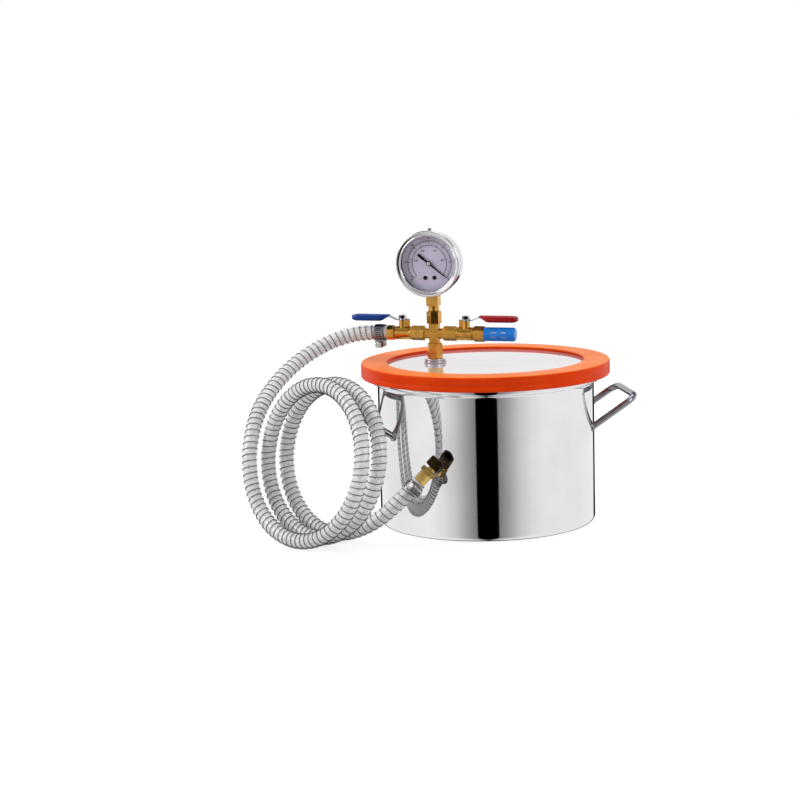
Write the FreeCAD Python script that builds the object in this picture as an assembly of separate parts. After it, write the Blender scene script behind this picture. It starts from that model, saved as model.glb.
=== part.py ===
import FreeCAD, Part
import math
import os

# A vacuum degassing chamber: a steel pot with a gasketed clear lid, a brass manifold with a gauge and
# two ball valves, an air filter, and a coiled hose. Millimetres, +Z up. The origin is the centre of the
# pot's bottom, and the manifold's run lies along X.

Vector = FreeCAD.Vector
X_AXIS = Vector(1, 0, 0)
Y_AXIS = Vector(0, 1, 0)
Z_AXIS = Vector(0, 0, 1)

# Pot
pot_diameter = 250.0
pot_height = 171.0
pot_wall = 1.0
pot_corner_radius = 6.0
rim_overhang = 7.5
rim_hem_height = 2.6
rim_hem_thickness = 2.4
rim_flare_height = 7.6

# Side handles
handle_turn_angle = 26.0
handle_rod = 7.5
handle_width = 94.0
handle_reach = 42.0
handle_root_drop = 53.5
handle_rise_angle = 33.0
handle_bend_radius = 14.0

# Gasket ring and lid
gasket_overhang = 11.0
gasket_ring_width = 30.0
gasket_flange = 3.5
gasket_web = 3.0
gasket_edge_radius = 2.0
gasket_inner_radius = 0.8
lid_thickness = 10.0
lid_edge_gap = 0.2
lid_edge_chamfer = 0.6

# Where the manifold stands on the lid, and the parts that hold it there
manifold_x = -58.0
manifold_y = -8.0
washer_lower_diameter = 25.5
washer_lower_thickness = 2.6
washer_upper_diameter = 24.0
washer_upper_thickness = 2.5
under_washer_diameter = 24.0
under_washer_thickness = 2.0
lid_nut_flats = 17.0
lid_nut_height = 8.0
lid_nut_turn_angle = 12.0
lid_thread_diameter = 12.0
lid_thread_end = 2.0
lid_hole_gap = 0.3
washer_edge_share = 0.25
coupling_flats = 16.0
coupling_height = 17.7
coupling_socket_depth = 10.0

# Brass pipe work
thread_diameter = 10.3
thread_gap = 0.05
spigot_length = 9.0
waterway = 6.0
cross_bar = 11.5
cross_arm = 11.2
cross_edge = 1.6
gauge_coupling_flats = 15.0
gauge_coupling_height = 14.6
gauge_coupling_turn_angle = 20.0
gauge_coupling_gap = 0.25
hex_chamfer_angle = 30.0

# Ball valve, measured outwards from its hex's inner face
valve_hex_flats = 15.0
valve_hex_length = 16.0
valve_body_diameter = 15.5
valve_body_length = 20.5
valve_groove_depth = 0.5
valve_groove_width = 1.0
valve_end_chamfer = 1.5
valve_spigot_length = 8.0
valve_ball_station = 27.0
cavity_diameter = 10.4
ball_diameter = 9.4
ball_gap = 0.1
ball_slot_extra_depth = 0.4
seat_thickness = 2.4
seat_rim_offset = 0.8
retainer_thickness = 4.9
stem_diameter = 4.8
stem_gap = 0.05
stem_tang_width = 2.0
stem_tang_gap = 0.1
stem_tang_clearance = 0.6
boss_diameter = 8.8
boss_top = 14.6
packing_diameter = 6.8
packing_height = 4.0
stop_lug_width = 3.0
stop_lug_reach = 8.4
stop_lug_top = 16.4
stop_lug_root = 1.0
stop_ear_width = 2.4
stop_gap = 0.3

# Lever and its sleeve
lever_thickness = 1.2
lever_hub_diameter = 9.6
lever_neck_width = 7.0
lever_flat_length = 7.0
lever_crank_length = 10.5
lever_crank_rise = 4.4
lever_channel_width = 12.6
lever_channel_depth = 6.0
lever_length = 61.0
lever_gap = 0.3
sleeve_wall = 0.9
sleeve_neck_length = 9.0
sleeve_neck_overlap = 1.0
sleeve_edge_share = 0.8
lever_nut_flats = 8.2
lever_nut_height = 4.6
lever_nut_flange = 0.8
lever_nut_flange_share = 1.15
lever_nut_turn_angle = 15.0

# Air filter on the right valve
filter_hex_flats = 16.0
filter_hex_length = 13.0
filter_stub_diameter = 13.0
filter_stub_length = 4.0
filter_cap_diameter = 16.2
filter_cap_length = 36.5
filter_cap_wall = 1.3
filter_cap_gap = 0.1
filter_end_radius = 3.0
filter_slot_length = 8.0
filter_slot_width = 2.0
filter_slot_rows = 8
filter_slot_stations = (7.5, 19.0)
filter_element_wall = 2.0
filter_element_gap = 0.4

# Hose and its end fittings
hose_diameter = 18.0
hose_bore = 12.0
barb_hex_flats = 15.0
barb_hex_length = 9.0
barb_length = 22.0
barb_root_diameter = 10.6
barb_rings = 4
barb_gap = 0.05
barb_slope_share = 0.9
barb_bore_extra = 0.5
barb_straight = 26.0
clamp_width = 11.0
clamp_band = 0.7
clamp_gap = 0.05
clamp_offset = 3.5
clamp_housing_length = 12.0
clamp_housing_height = 7.5
clamp_housing_inset = 0.5
clamp_housing_foot = 2.0
clamp_housing_round_share = 0.4
clamp_screw_diameter = 6.0
clamp_screw_head_flats = 7.0
clamp_screw_head_height = 4.0
clamp_screw_slot_width = 1.2
clamp_screw_slot_depth = 1.2
clamp_screw_stand = 1.0
clamp_turn_angles = {"near": 0.0, "far": -60.0}
end_body_flats = 13.0
end_body_length = 12.0
end_collar_flats = 16.0
end_collar_length = 6.0
end_collar_turn_angle = 10.0
end_neck_diameter = 8.0
end_neck_shown = 3.0
end_flare_diameter = 10.2
end_flare_length = 2.0
end_flare_rise = 0.8
swivel_nut_flats = 17.0
swivel_nut_length = 11.5
swivel_nut_turn_angle = 25.0
swivel_nut_bore = 11.2
swivel_nut_relief = 12.0
swivel_nut_back = 2.0
swivel_gap = 0.08
swivel_play = 0.4

# Gauge, measured from the stem's axis towards the dial's side
gauge_lean_angle = 1.2
gauge_lean_lift = 0.2
gauge_centre_rise = 81.4
gauge_case_diameter = 71.0
gauge_case_wall = 0.8
gauge_case_back = 9.0
gauge_case_corner = 3.0
gauge_flange_overhang = 1.7
gauge_flange_front = 14.0
gauge_bezel_overhang = 0.8
gauge_bezel_face_width = 6.2
gauge_bezel_edge_chamfer = 0.5
gauge_bezel_lip = 1.4
gauge_bezel_wall = 0.7
gauge_bezel_gap = 0.1
gauge_bezel_round = 1.8
lens_thickness = 2.0
lens_seal_width = 3.0
lens_seal_thickness = 1.0
dial_edge_gap = 1.7
dial_thickness = 0.8
dial_face = 9.5
dial_hole_gap = 0.5
dial_screw_diameter = 4.6
dial_screw_slot = 0.7
dial_screw_turn_angle = 30.0
dial_screw_head = 1.0
dial_screw_shank = 2.0
dial_screw_length = 3.0
dial_screw_x = 5.5
dial_screw_drop = 16.4
needle_reach = 24.4
needle_tail = 16.6
needle_rise = 1.9
needle_thickness = 0.6
needle_tip_width = 0.8
needle_root_width = 2.2
needle_tail_width = 3.2
needle_hub_diameter = 5.6
needle_hub_height = 1.8
needle_hub_drop = 0.4
needle_sweep_angle = 260.0
needle_rest_angle = -40.0
arbor_diameter = 1.6
arbor_gap = 0.08
pinion_diameter = 3.6
sector_radius = 18.0
sector_gap = 0.1
sector_half_angle = 20.0
sector_thickness = 1.2
sector_tail = 7.0
sector_hub_diameter = 4.8
sector_fan_angle = 60.0
movement_width = 14.4
movement_plate = 1.2
movement_depth = 8.0
movement_top = 6.0
movement_drop = 3.0
movement_post = 2.6
movement_post_inset = 1.6
arbor_end_gap = 0.4
socket_flats = 14.0
socket_height = 13.9
socket_chamfer = 0.6
socket_top_gap = 0.2
socket_neck_diameter = 9.0
socket_collar_diameter = 11.5
socket_collar_gap = 0.1
socket_collar_height = 2.5
socket_foot_gap = 0.8
socket_foot_depth = 4.0
socket_step_height = 5.0
socket_bore = 3.0
socket_block_top = 23.0
socket_block_width = 11.0
bourdon_inset = 9.0
bourdon_width = 8.0
bourdon_thickness = 2.6
bourdon_start_angle = -78.0
bourdon_sweep_angle = 268.0
bourdon_tip_angle = 3.0
link_width = 2.4
link_thickness = 0.8
link_gap = 1.6
plug_diameter = 4.0
plug_stem_diameter = 3.0
plug_height = 4.5
plug_round = 0.8
plug_stem_length = 4.0
plug_stem_drop = 2.5
plug_station = 3.0

# Diameters and heights that follow from the sizes above
rim_diameter = pot_diameter + 2 * rim_overhang
gasket_diameter = rim_diameter + 2 * gasket_overhang
gasket_window = gasket_diameter - 2 * gasket_ring_width
gauge_flange_diameter = gauge_case_diameter + 2 * gauge_flange_overhang
gauge_bezel_diameter = gauge_flange_diameter + 2 * gauge_bezel_overhang
gauge_bezel_lip_diameter = gauge_bezel_diameter - 2 * gauge_bezel_face_width
dial_diameter = gauge_case_diameter - 2 * (gauge_case_wall + dial_edge_gap)
bourdon_radius = gauge_case_diameter / 2 - bourdon_inset
lid_bottom = pot_height + gasket_flange
lid_top = lid_bottom + lid_thickness
gasket_top = lid_top + gasket_flange
coupling_bottom = lid_top + washer_lower_thickness + washer_upper_thickness
cross_height = coupling_bottom + coupling_height + cross_arm
gauge_height = cross_height + gauge_centre_rise
manifold_centre = Vector(manifold_x, manifold_y, cross_height)
gauge_centre = Vector(manifold_x, manifold_y, gauge_height)
valve_start = cross_arm
valve_shoulder = valve_start + valve_hex_length + valve_body_length
ball_station = valve_start + valve_ball_station
gauge_root = manifold_centre + Z_AXIS * cross_arm
socket_diameter = thread_diameter + 2 * thread_gap

# The coil: turns that stand on the floor and lean towards the pot
coil_centre = Vector(-148.0, -157.7, 0)
coil_axis_angle = 28.8
coil_lean_angle = 10.3
coil_first_radius = 86.6
coil_radius_loss = 1.3
coil_pitch = 26.0
coil_middle_angle = 585.0
coil_first_angle = 180.0
coil_slack = 3.0

# The hose's route: chosen points from the valve to the coil, and from the coil to the end fitting
run_points = [
    Vector(-165.0, -12.5, 214.0),
    Vector(-188.0, -22.0, 205.0),
    Vector(-210.0, -39.0, 191.0),
    Vector(-225.5, -60.5, 174.5),
    Vector(-235.0, -84.5, 157.0),
    Vector(-239.5, -109.5, 138.0),
    Vector(-240.0, -129.5, 115.5),
]
run_last_angles = (184.0, 204.0)
tail_points = [
    Vector(-141.0, -146.0, 9.0),
    Vector(-118.0, -154.5, 12.0),
    Vector(-94.5, -160.0, 21.0),
    Vector(-72.5, -160.5, 35.5),
    Vector(-53.7, -155.6, 53.5),
    Vector(-36.6, -147.8, 71.5),
]


def polar(radius, degrees):
    """Point at a radius and angle in the XY plane."""
    return Vector(radius * math.cos(math.radians(degrees)), radius * math.sin(math.radians(degrees)), 0)


def section_point(radius, height):
    """Point of a turned section, drawn in the XZ plane."""
    return Vector(radius, 0, height)


def section_arc(centre_radius, centre_height, radius, start, end):
    """Arc of a turned section about a centre in the XZ plane, from one angle to another."""
    def at(degrees):
        turn = math.radians(degrees)
        return section_point(centre_radius + radius * math.cos(turn), centre_height + radius * math.sin(turn))
    return Part.Arc(at(start), at((start + end) / 2), at(end)).toShape()


def section_path(parts):
    """Edges of a section from points and arcs in order, joined by straight lines where they don't meet."""
    edges = []
    last = None
    for part in parts:
        is_point = isinstance(part, Vector)
        start = part if is_point else part.firstVertex(True).Point
        if last is not None and last.distanceToPoint(start) > 1e-6:
            edges.append(Part.LineSegment(last, start).toShape())
        if not is_point:
            edges.append(part)
        last = part if is_point else part.lastVertex(True).Point
    first = edges[0].firstVertex(True).Point
    if last.distanceToPoint(first) > 1e-6:
        edges.append(Part.LineSegment(last, first).toShape())
    return edges


def turned(parts):
    """Solid turned about Z from a section in the XZ plane."""
    face = Part.Face(Part.Wire(section_path(parts)))
    return face.revolve(Vector(0, 0, 0), Z_AXIS, 360)


def tilted(shape, axis, degrees, centre=Vector(0, 0, 0)):
    """Copy of a shape turned about an axis through a point."""
    result = shape.copy()
    result.rotate(centre, axis, degrees)
    return result


def moved(shape, offset):
    """Copy of a shape at another place."""
    result = shape.copy()
    result.translate(offset)
    return result


def along_x(shape):
    """Copy of a shape made along +Z, laid along +X."""
    return tilted(shape, Y_AXIS, 90)


def rod(diameter, length, base=Vector(0, 0, 0), direction=Z_AXIS):
    """Plain cylinder."""
    return Part.makeCylinder(diameter / 2, length, base, direction)


def ring(outer, inner, height, base=0.0):
    """Flat ring about Z."""
    return rod(outer, height, Vector(0, 0, base)).cut(rod(inner, height, Vector(0, 0, base)))


def box(size, centre):
    """Box by its size and its centre."""
    corner = Vector(centre.x - size.x / 2, centre.y - size.y / 2, centre.z - size.z / 2)
    return Part.makeBox(size.x, size.y, size.z, corner)


def hexagon(flats, height, base=0.0, turn=0.0, chamfer_bottom=True, chamfer_top=True):
    """Hexagonal bar about Z whose corners are turned off at its ends."""
    corner_radius = flats / math.sqrt(3)
    points = [polar(corner_radius, 60 * index + turn) for index in range(7)]
    prism = Part.Face(Part.makePolygon(points)).extrude(Vector(0, 0, height))
    drop = (corner_radius - flats / 2) * math.tan(math.radians(hex_chamfer_angle))
    bottom = drop if chamfer_bottom else 0.0
    top = drop if chamfer_top else 0.0
    outline = [section_point(0, 0)]
    outline.append(section_point(flats / 2 if bottom else corner_radius, 0))
    if bottom:
        outline.append(section_point(corner_radius, bottom))
    outline.append(section_point(corner_radius, height - top))
    if top:
        outline.append(section_point(flats / 2, height))
    outline.append(section_point(0, height))
    return moved(prism.common(turned(outline)), Vector(0, 0, base))


def pipe(path_edges, radius):
    """Round bar swept along tangent edges."""
    path = Part.Wire(path_edges)
    first = path_edges[0]
    direction = first.tangentAt(first.FirstParameter)
    start = first.valueAt(first.FirstParameter)
    profile = Part.Wire([Part.Circle(start, direction, radius).toShape()])
    return path.makePipeShell([profile], True, False)


def bent_path(points, share=0.45, given_radius=None):
    """Straight runs joined by tangent arcs, and the arcs' radii."""
    edges = []
    radii = []
    last = points[0]
    for index in range(1, len(points) - 1):
        before, corner, after = points[index - 1], points[index], points[index + 1]
        inward = (corner - before).normalize()
        outward = (after - corner).normalize()
        half_turn = inward.getAngle(outward) / 2
        shorter = min(before.distanceToPoint(corner), corner.distanceToPoint(after))
        radius = given_radius if given_radius else share * shorter / math.tan(half_turn)
        setback = radius * math.tan(half_turn)
        start = corner - inward * setback
        end = corner + outward * setback
        to_centre = (outward - inward).normalize()
        middle = corner + to_centre * (radius / math.cos(half_turn) - radius)
        if last.distanceToPoint(start) > 1e-6:
            edges.append(Part.LineSegment(last, start).toShape())
        edges.append(Part.Arc(start, middle, end).toShape())
        radii.append(radius)
        last = end
    edges.append(Part.LineSegment(last, points[-1]).toShape())
    return edges, radii


# Pot and handles

def make_pot():
    """Drawn pot whose wall flares out into a hemmed rim."""
    outer = pot_diameter / 2
    rim = rim_diameter / 2
    hem_bottom = pot_height - rim_hem_height
    flare_bottom = hem_bottom - rim_flare_height
    shift = rim - outer
    bend = (shift ** 2 + rim_flare_height ** 2) / (4 * shift)
    swing = math.degrees(2 * math.atan2(shift, rim_flare_height))
    hem = rim_hem_thickness / 2
    hem_centre = rim - hem
    corner = pot_corner_radius
    section = [
        section_point(0, 0),
        section_arc(outer - corner, corner, corner, -90, 0),
        section_arc(outer + bend, flare_bottom, bend, 180, 180 - swing),
        section_arc(rim - bend, hem_bottom, bend, -swing, 0),
        section_arc(hem_centre, pot_height - hem, hem, 0, 180),
        section_point(rim - rim_hem_thickness, hem_bottom),
        section_arc(rim - bend, hem_bottom, bend - pot_wall, 0, -swing),
        section_arc(outer + bend, flare_bottom, bend + pot_wall, 180 - swing, 180),
        section_arc(outer - corner, corner, corner - pot_wall, 0, -90),
        section_point(0, pot_wall),
    ]
    return turned(section)


def make_handle(turn):
    """Bent rod, welded to the wall at both ends."""
    wall = pot_diameter / 2
    rise = math.tan(math.radians(handle_rise_angle))
    root = wall - 2 * handle_rod
    half = handle_width / 2
    tip = wall + handle_reach
    weld_height = pot_height - handle_root_drop
    tip_height = weld_height + handle_reach * rise
    root_height = weld_height - 2 * handle_rod * rise
    points = [
        Vector(root, -half, root_height),
        Vector(tip, -half, tip_height),
        Vector(tip, half, tip_height),
        Vector(root, half, root_height),
    ]
    edges, _ = bent_path(points, given_radius=handle_bend_radius)
    bar = pipe(edges, handle_rod / 2)
    bar = bar.cut(rod(pot_diameter, pot_height))
    return tilted(bar, Z_AXIS, turn)


# Gasket ring, lid and what clamps the manifold to it

def make_lid_gasket():
    """Silicone channel ring that holds the lid's edge and seals it on the rim."""
    outer = gasket_diameter / 2
    inner = gasket_window / 2
    web = outer - gasket_web
    edge = gasket_edge_radius
    lip = gasket_inner_radius
    return turned([
        section_point(inner, pot_height + lip),
        section_arc(inner + lip, pot_height + lip, lip, 180, 270),
        section_arc(outer - edge, pot_height + edge, edge, -90, 0),
        section_arc(outer - edge, gasket_top - edge, edge, 0, 90),
        section_arc(inner + lip, gasket_top - lip, lip, 90, 180),
        section_point(inner, lid_top),
        section_point(web, lid_top),
        section_point(web, lid_bottom),
        section_point(inner, lid_bottom),
    ])


def make_lid_plate():
    """Clear disc with one hole for the manifold."""
    radius = gasket_diameter / 2 - gasket_web - lid_edge_gap
    chamfer = lid_edge_chamfer
    disc = turned([
        section_point(0, lid_bottom),
        section_point(radius - chamfer, lid_bottom),
        section_point(radius, lid_bottom + chamfer),
        section_point(radius, lid_top - chamfer),
        section_point(radius - chamfer, lid_top),
        section_point(0, lid_top),
    ])
    hole_base = Vector(manifold_x, manifold_y, lid_bottom)
    return disc.cut(rod(lid_thread_diameter + 2 * lid_hole_gap, lid_thickness, hole_base))


def make_lid_washer(diameter, thickness, base):
    """Washer on the manifold's axis with eased edges."""
    hole = lid_thread_diameter / 2 + lid_hole_gap
    edge = washer_edge_share * thickness
    outer = diameter / 2
    washer = turned([
        section_point(hole, base),
        section_arc(outer - edge, base + edge, edge, -90, 0),
        section_arc(outer - edge, base + thickness - edge, edge, 0, 90),
        section_point(hole, base + thickness),
    ])
    return moved(washer, Vector(manifold_x, manifold_y, 0))


def make_lid_coupling():
    """Hexagonal coupling with a hollow threaded tail that goes down through the lid."""
    tail_bottom = lid_bottom - under_washer_thickness - lid_nut_height - lid_thread_end
    body = hexagon(coupling_flats, coupling_height, coupling_bottom)
    tail_length = coupling_bottom - tail_bottom + coupling_height / 2
    body = body.fuse(rod(lid_thread_diameter, tail_length, Vector(0, 0, tail_bottom)))
    body = body.cut(rod(waterway, coupling_bottom + coupling_height - tail_bottom, Vector(0, 0, tail_bottom)))
    socket_base = coupling_bottom + coupling_height - coupling_socket_depth
    body = body.cut(rod(socket_diameter, coupling_socket_depth, Vector(0, 0, socket_base)))
    return moved(body.removeSplitter(), Vector(manifold_x, manifold_y, 0))


def make_lid_nut():
    """Nut that pulls the coupling down on the lid."""
    base = lid_bottom - under_washer_thickness - lid_nut_height
    nut = hexagon(lid_nut_flats, lid_nut_height, base, turn=lid_nut_turn_angle)
    nut = nut.cut(rod(lid_thread_diameter + 2 * thread_gap, lid_nut_height, Vector(0, 0, base)))
    return moved(nut, Vector(manifold_x, manifold_y, 0))


# Brass pipe work

def make_cross():
    """Forged four-way cross with a threaded spigot on each arm."""
    body = None
    for index in range(4):
        arm = box(Vector(cross_bar, cross_bar, cross_arm), Vector(0, 0, cross_arm / 2))
        long_edges = [edge for edge in arm.Edges if abs(edge.tangentAt(edge.FirstParameter).z) > 0.99]
        arm = arm.makeChamfer(cross_edge, long_edges)
        spigot = rod(thread_diameter, spigot_length, Vector(0, 0, cross_arm))
        arm = tilted(arm.fuse(spigot), Y_AXIS, 90 * index)
        body = arm if body is None else body.fuse(arm)
    reach = cross_arm + spigot_length
    body = body.cut(rod(waterway, 2 * reach, Vector(0, 0, -reach), Z_AXIS))
    body = body.cut(rod(waterway, 2 * reach, Vector(-reach, 0, 0), X_AXIS))
    return moved(body.removeSplitter(), manifold_centre)


def make_gauge_coupling():
    """Hexagonal coupling between the cross and the gauge."""
    coupling = hexagon(gauge_coupling_flats, gauge_coupling_height, 0, turn=gauge_coupling_turn_angle)
    coupling = coupling.cut(rod(socket_diameter, gauge_coupling_height))
    loose_end = rod(thread_diameter + 2 * gauge_coupling_gap, spigot_length + gauge_coupling_gap)
    return leaned(moved(coupling.cut(loose_end), gauge_root))


def make_valve_body():
    """Valve body along +X, with its hex towards the cross, a stem boss on top and a stop lug."""
    hex_part = hexagon(valve_hex_flats, valve_hex_length, 0)
    barrel = turned([
        section_point(0, valve_hex_length),
        section_point(valve_body_diameter / 2 - valve_groove_depth, valve_hex_length),
        section_point(valve_body_diameter / 2 - valve_groove_depth, valve_hex_length + valve_groove_width),
        section_point(valve_body_diameter / 2, valve_hex_length + valve_groove_width + valve_groove_depth),
        section_point(valve_body_diameter / 2, valve_hex_length + valve_body_length - valve_end_chamfer),
        section_point(valve_body_diameter / 2 - valve_end_chamfer, valve_hex_length + valve_body_length),
        section_point(0, valve_hex_length + valve_body_length),
    ])
    length = valve_hex_length + valve_body_length
    spigot = rod(thread_diameter, valve_spigot_length, Vector(0, 0, length))
    body = moved(along_x(hex_part.fuse(barrel).fuse(spigot)), Vector(valve_start, 0, 0))
    boss = rod(boss_diameter, boss_top, Vector(ball_station, 0, 0))
    lug_base = cavity_diameter / 2 + stop_lug_root
    lug_start = boss_diameter / 2 - stop_lug_root
    lug = box(
        Vector(stop_lug_reach - lug_start, stop_lug_width, stop_lug_top - lug_base),
        Vector(ball_station - (lug_start + stop_lug_reach) / 2, 0, (stop_lug_top + lug_base) / 2),
    )
    hub_room = rod(lever_hub_diameter + 2 * stop_gap, stop_lug_top, Vector(ball_station, 0, boss_top))
    body = body.fuse(boss).fuse(lug.cut(hub_room))
    cavity_end = ball_station + ball_diameter / 2 + ball_gap + seat_rim_offset
    cavity_length = cavity_end - valve_start
    body = body.cut(rod(cavity_diameter, cavity_length, Vector(valve_start, 0, 0), X_AXIS))
    body = body.cut(rod(waterway, 2 * length, Vector(valve_start, 0, 0), X_AXIS))
    body = body.cut(rod(stem_diameter + 2 * stem_gap, boss_top, Vector(ball_station, 0, 0)))
    body = body.cut(rod(packing_diameter, packing_height, Vector(ball_station, 0, boss_top - packing_height)))
    return body.removeSplitter()


def make_retainer():
    """Ring behind the inner seat, screwed in from the hex's side."""
    back = ball_station - ball_diameter / 2 - ball_gap - seat_rim_offset
    body = rod(cavity_diameter, retainer_thickness, Vector(back - retainer_thickness, 0, 0), X_AXIS)
    return body.cut(rod(waterway, retainer_thickness, Vector(back - retainer_thickness, 0, 0), X_AXIS))


def make_seats():
    """Two seat rings that cup the ball from either side."""
    seats = []
    for side in (-1, 1):
        far = ball_station + side * (ball_diameter / 2 + ball_gap + seat_rim_offset)
        start = min(far, far - side * seat_thickness)
        seat = rod(cavity_diameter, seat_thickness, Vector(start, 0, 0), X_AXIS)
        seat = seat.cut(rod(waterway, seat_thickness, Vector(start, 0, 0), X_AXIS))
        seat = seat.cut(Part.makeSphere(ball_diameter / 2 + ball_gap, Vector(ball_station, 0, 0)))
        seats.append(seat)
    return Part.makeCompound(seats)


def make_ball():
    """Bored ball with a slot for the stem's tang."""
    ball = Part.makeSphere(ball_diameter / 2, Vector(ball_station, 0, 0))
    ball = ball.cut(rod(waterway, ball_diameter, Vector(ball_station - ball_diameter / 2, 0, 0), X_AXIS))
    slot_depth = ball_diameter / 2 - waterway / 2
    slot = box(
        Vector(ball_diameter, stem_tang_width + 2 * stem_tang_gap, slot_depth),
        Vector(ball_station, 0, ball_diameter / 2 - slot_depth / 2 + ball_slot_extra_depth),
    )
    return ball.cut(slot)


def make_stem():
    """Stem from the ball's slot up through the packing to the lever's nut."""
    tang_bottom = waterway / 2 + stem_tang_clearance
    shoulder = ball_diameter / 2 + ball_gap
    top = boss_top + lever_gap + lever_thickness + lever_nut_height
    shaft = rod(stem_diameter, top - shoulder, Vector(ball_station, 0, shoulder))
    tang = rod(stem_diameter, shoulder - tang_bottom, Vector(ball_station, 0, tang_bottom))
    keep = box(
        Vector(stem_diameter, stem_tang_width, shoulder - tang_bottom),
        Vector(ball_station, 0, (shoulder + tang_bottom) / 2),
    )
    stem = shaft.fuse(tang.common(keep))
    return stem.removeSplitter()


def make_packing():
    """Packing ring round the stem, inside the boss."""
    base = boss_top - packing_height
    outer = rod(packing_diameter, packing_height, Vector(ball_station, 0, base))
    return outer.cut(rod(stem_diameter + 2 * stem_gap, packing_height, Vector(ball_station, 0, base)))


def lever_base():
    """Height of the lever's underside above the pipe's axis."""
    return boss_top + lever_gap


def make_lever():
    """Stamped lever: a hub with two stop ears, a cranked neck and a folded channel under the sleeve."""
    base = lever_base()
    hub = rod(lever_hub_diameter, lever_thickness, Vector(0, 0, base))
    inner = lever_hub_diameter / 2 + stop_gap
    side = stop_ear_width / 2
    clear_angle = math.degrees(
        math.asin((stop_lug_width / 2 + stop_gap) / math.hypot(inner, side)) + math.atan2(side, inner)
    )
    blank = hub
    for angle in (180 - clear_angle, 270 + clear_angle):
        ear = box(
            Vector(stop_lug_reach, stop_ear_width, lever_thickness),
            Vector(stop_lug_reach / 2, 0, base + lever_thickness / 2),
        )
        blank = blank.fuse(tilted(ear, Z_AXIS, angle))
    flat = lever_flat_length
    crank = flat + lever_crank_length
    raised = base + lever_crank_rise
    strip_profile = [
        Vector(0, 0, base),
        Vector(flat, 0, base),
        Vector(crank, 0, raised),
        Vector(lever_length, 0, raised),
        Vector(lever_length, 0, raised + lever_thickness),
        Vector(crank, 0, raised + lever_thickness),
        Vector(flat, 0, base + lever_thickness),
        Vector(0, 0, base + lever_thickness),
        Vector(0, 0, base),
    ]
    strip = Part.Face(Part.makePolygon(strip_profile)).extrude(Vector(0, lever_channel_width, 0))
    strip = moved(strip, Vector(0, -lever_channel_width / 2, 0))
    neck = lever_neck_width / 2
    wide = lever_channel_width / 2
    plan = [
        Vector(0, -neck, 0),
        Vector(crank, -neck, 0),
        Vector(crank + sleeve_neck_length, -wide, 0),
        Vector(lever_length - wide, -wide, 0),
    ]
    tip = Part.Arc(plan[-1], Vector(lever_length, 0, 0), Vector(plan[-1].x, wide, 0)).toShape()
    edges = [Part.LineSegment(plan[index], plan[index + 1]).toShape() for index in range(3)]
    edges.append(tip)
    mirrored = [Vector(point.x, -point.y, 0) for point in reversed(plan)]
    edges += [Part.LineSegment(mirrored[index], mirrored[index + 1]).toShape() for index in range(3)]
    edges.append(Part.LineSegment(mirrored[-1], plan[0]).toShape())
    outline = Part.Face(Part.Wire(edges)).extrude(Vector(0, 0, 3 * stop_lug_top))
    strip = strip.common(outline)
    flange_start = crank + sleeve_neck_length
    flange_length = lever_length - wide - flange_start
    for side in (-1, 1):
        flange = box(
            Vector(flange_length, lever_thickness, lever_channel_depth),
            Vector(
                flange_start + flange_length / 2,
                side * (wide - lever_thickness / 2),
                raised + lever_thickness - lever_channel_depth / 2,
            ),
        )
        strip = strip.fuse(flange)
    lever = blank.fuse(strip)
    lever = lever.cut(rod(stem_diameter, 2 * stop_lug_top))
    return moved(lever.removeSplitter(), Vector(ball_station, 0, 0))


def sleeve_outline(offset):
    """Plan of the sleeve, or of the room inside it, as a face in the XY plane."""
    start = lever_flat_length + lever_crank_length - sleeve_neck_overlap
    neck = lever_neck_width / 2 + offset
    wide = lever_channel_width / 2 + offset
    end = lever_length + offset
    full = lever_flat_length + lever_crank_length + sleeve_neck_length
    points = [Vector(start, -neck, 0), Vector(full, -wide, 0), Vector(end - wide, -wide, 0)]
    edges = [Part.LineSegment(points[0], points[1]).toShape()]
    edges.append(Part.LineSegment(points[1], points[2]).toShape())
    edges.append(Part.Arc(points[2], Vector(end, 0, 0), Vector(points[2].x, wide, 0)).toShape())
    edges.append(Part.LineSegment(Vector(points[2].x, wide, 0), Vector(full, wide, 0)).toShape())
    edges.append(Part.LineSegment(Vector(full, wide, 0), Vector(start, neck, 0)).toShape())
    edges.append(Part.LineSegment(Vector(start, neck, 0), points[0]).toShape())
    return Part.Face(Part.Wire(edges))


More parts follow.
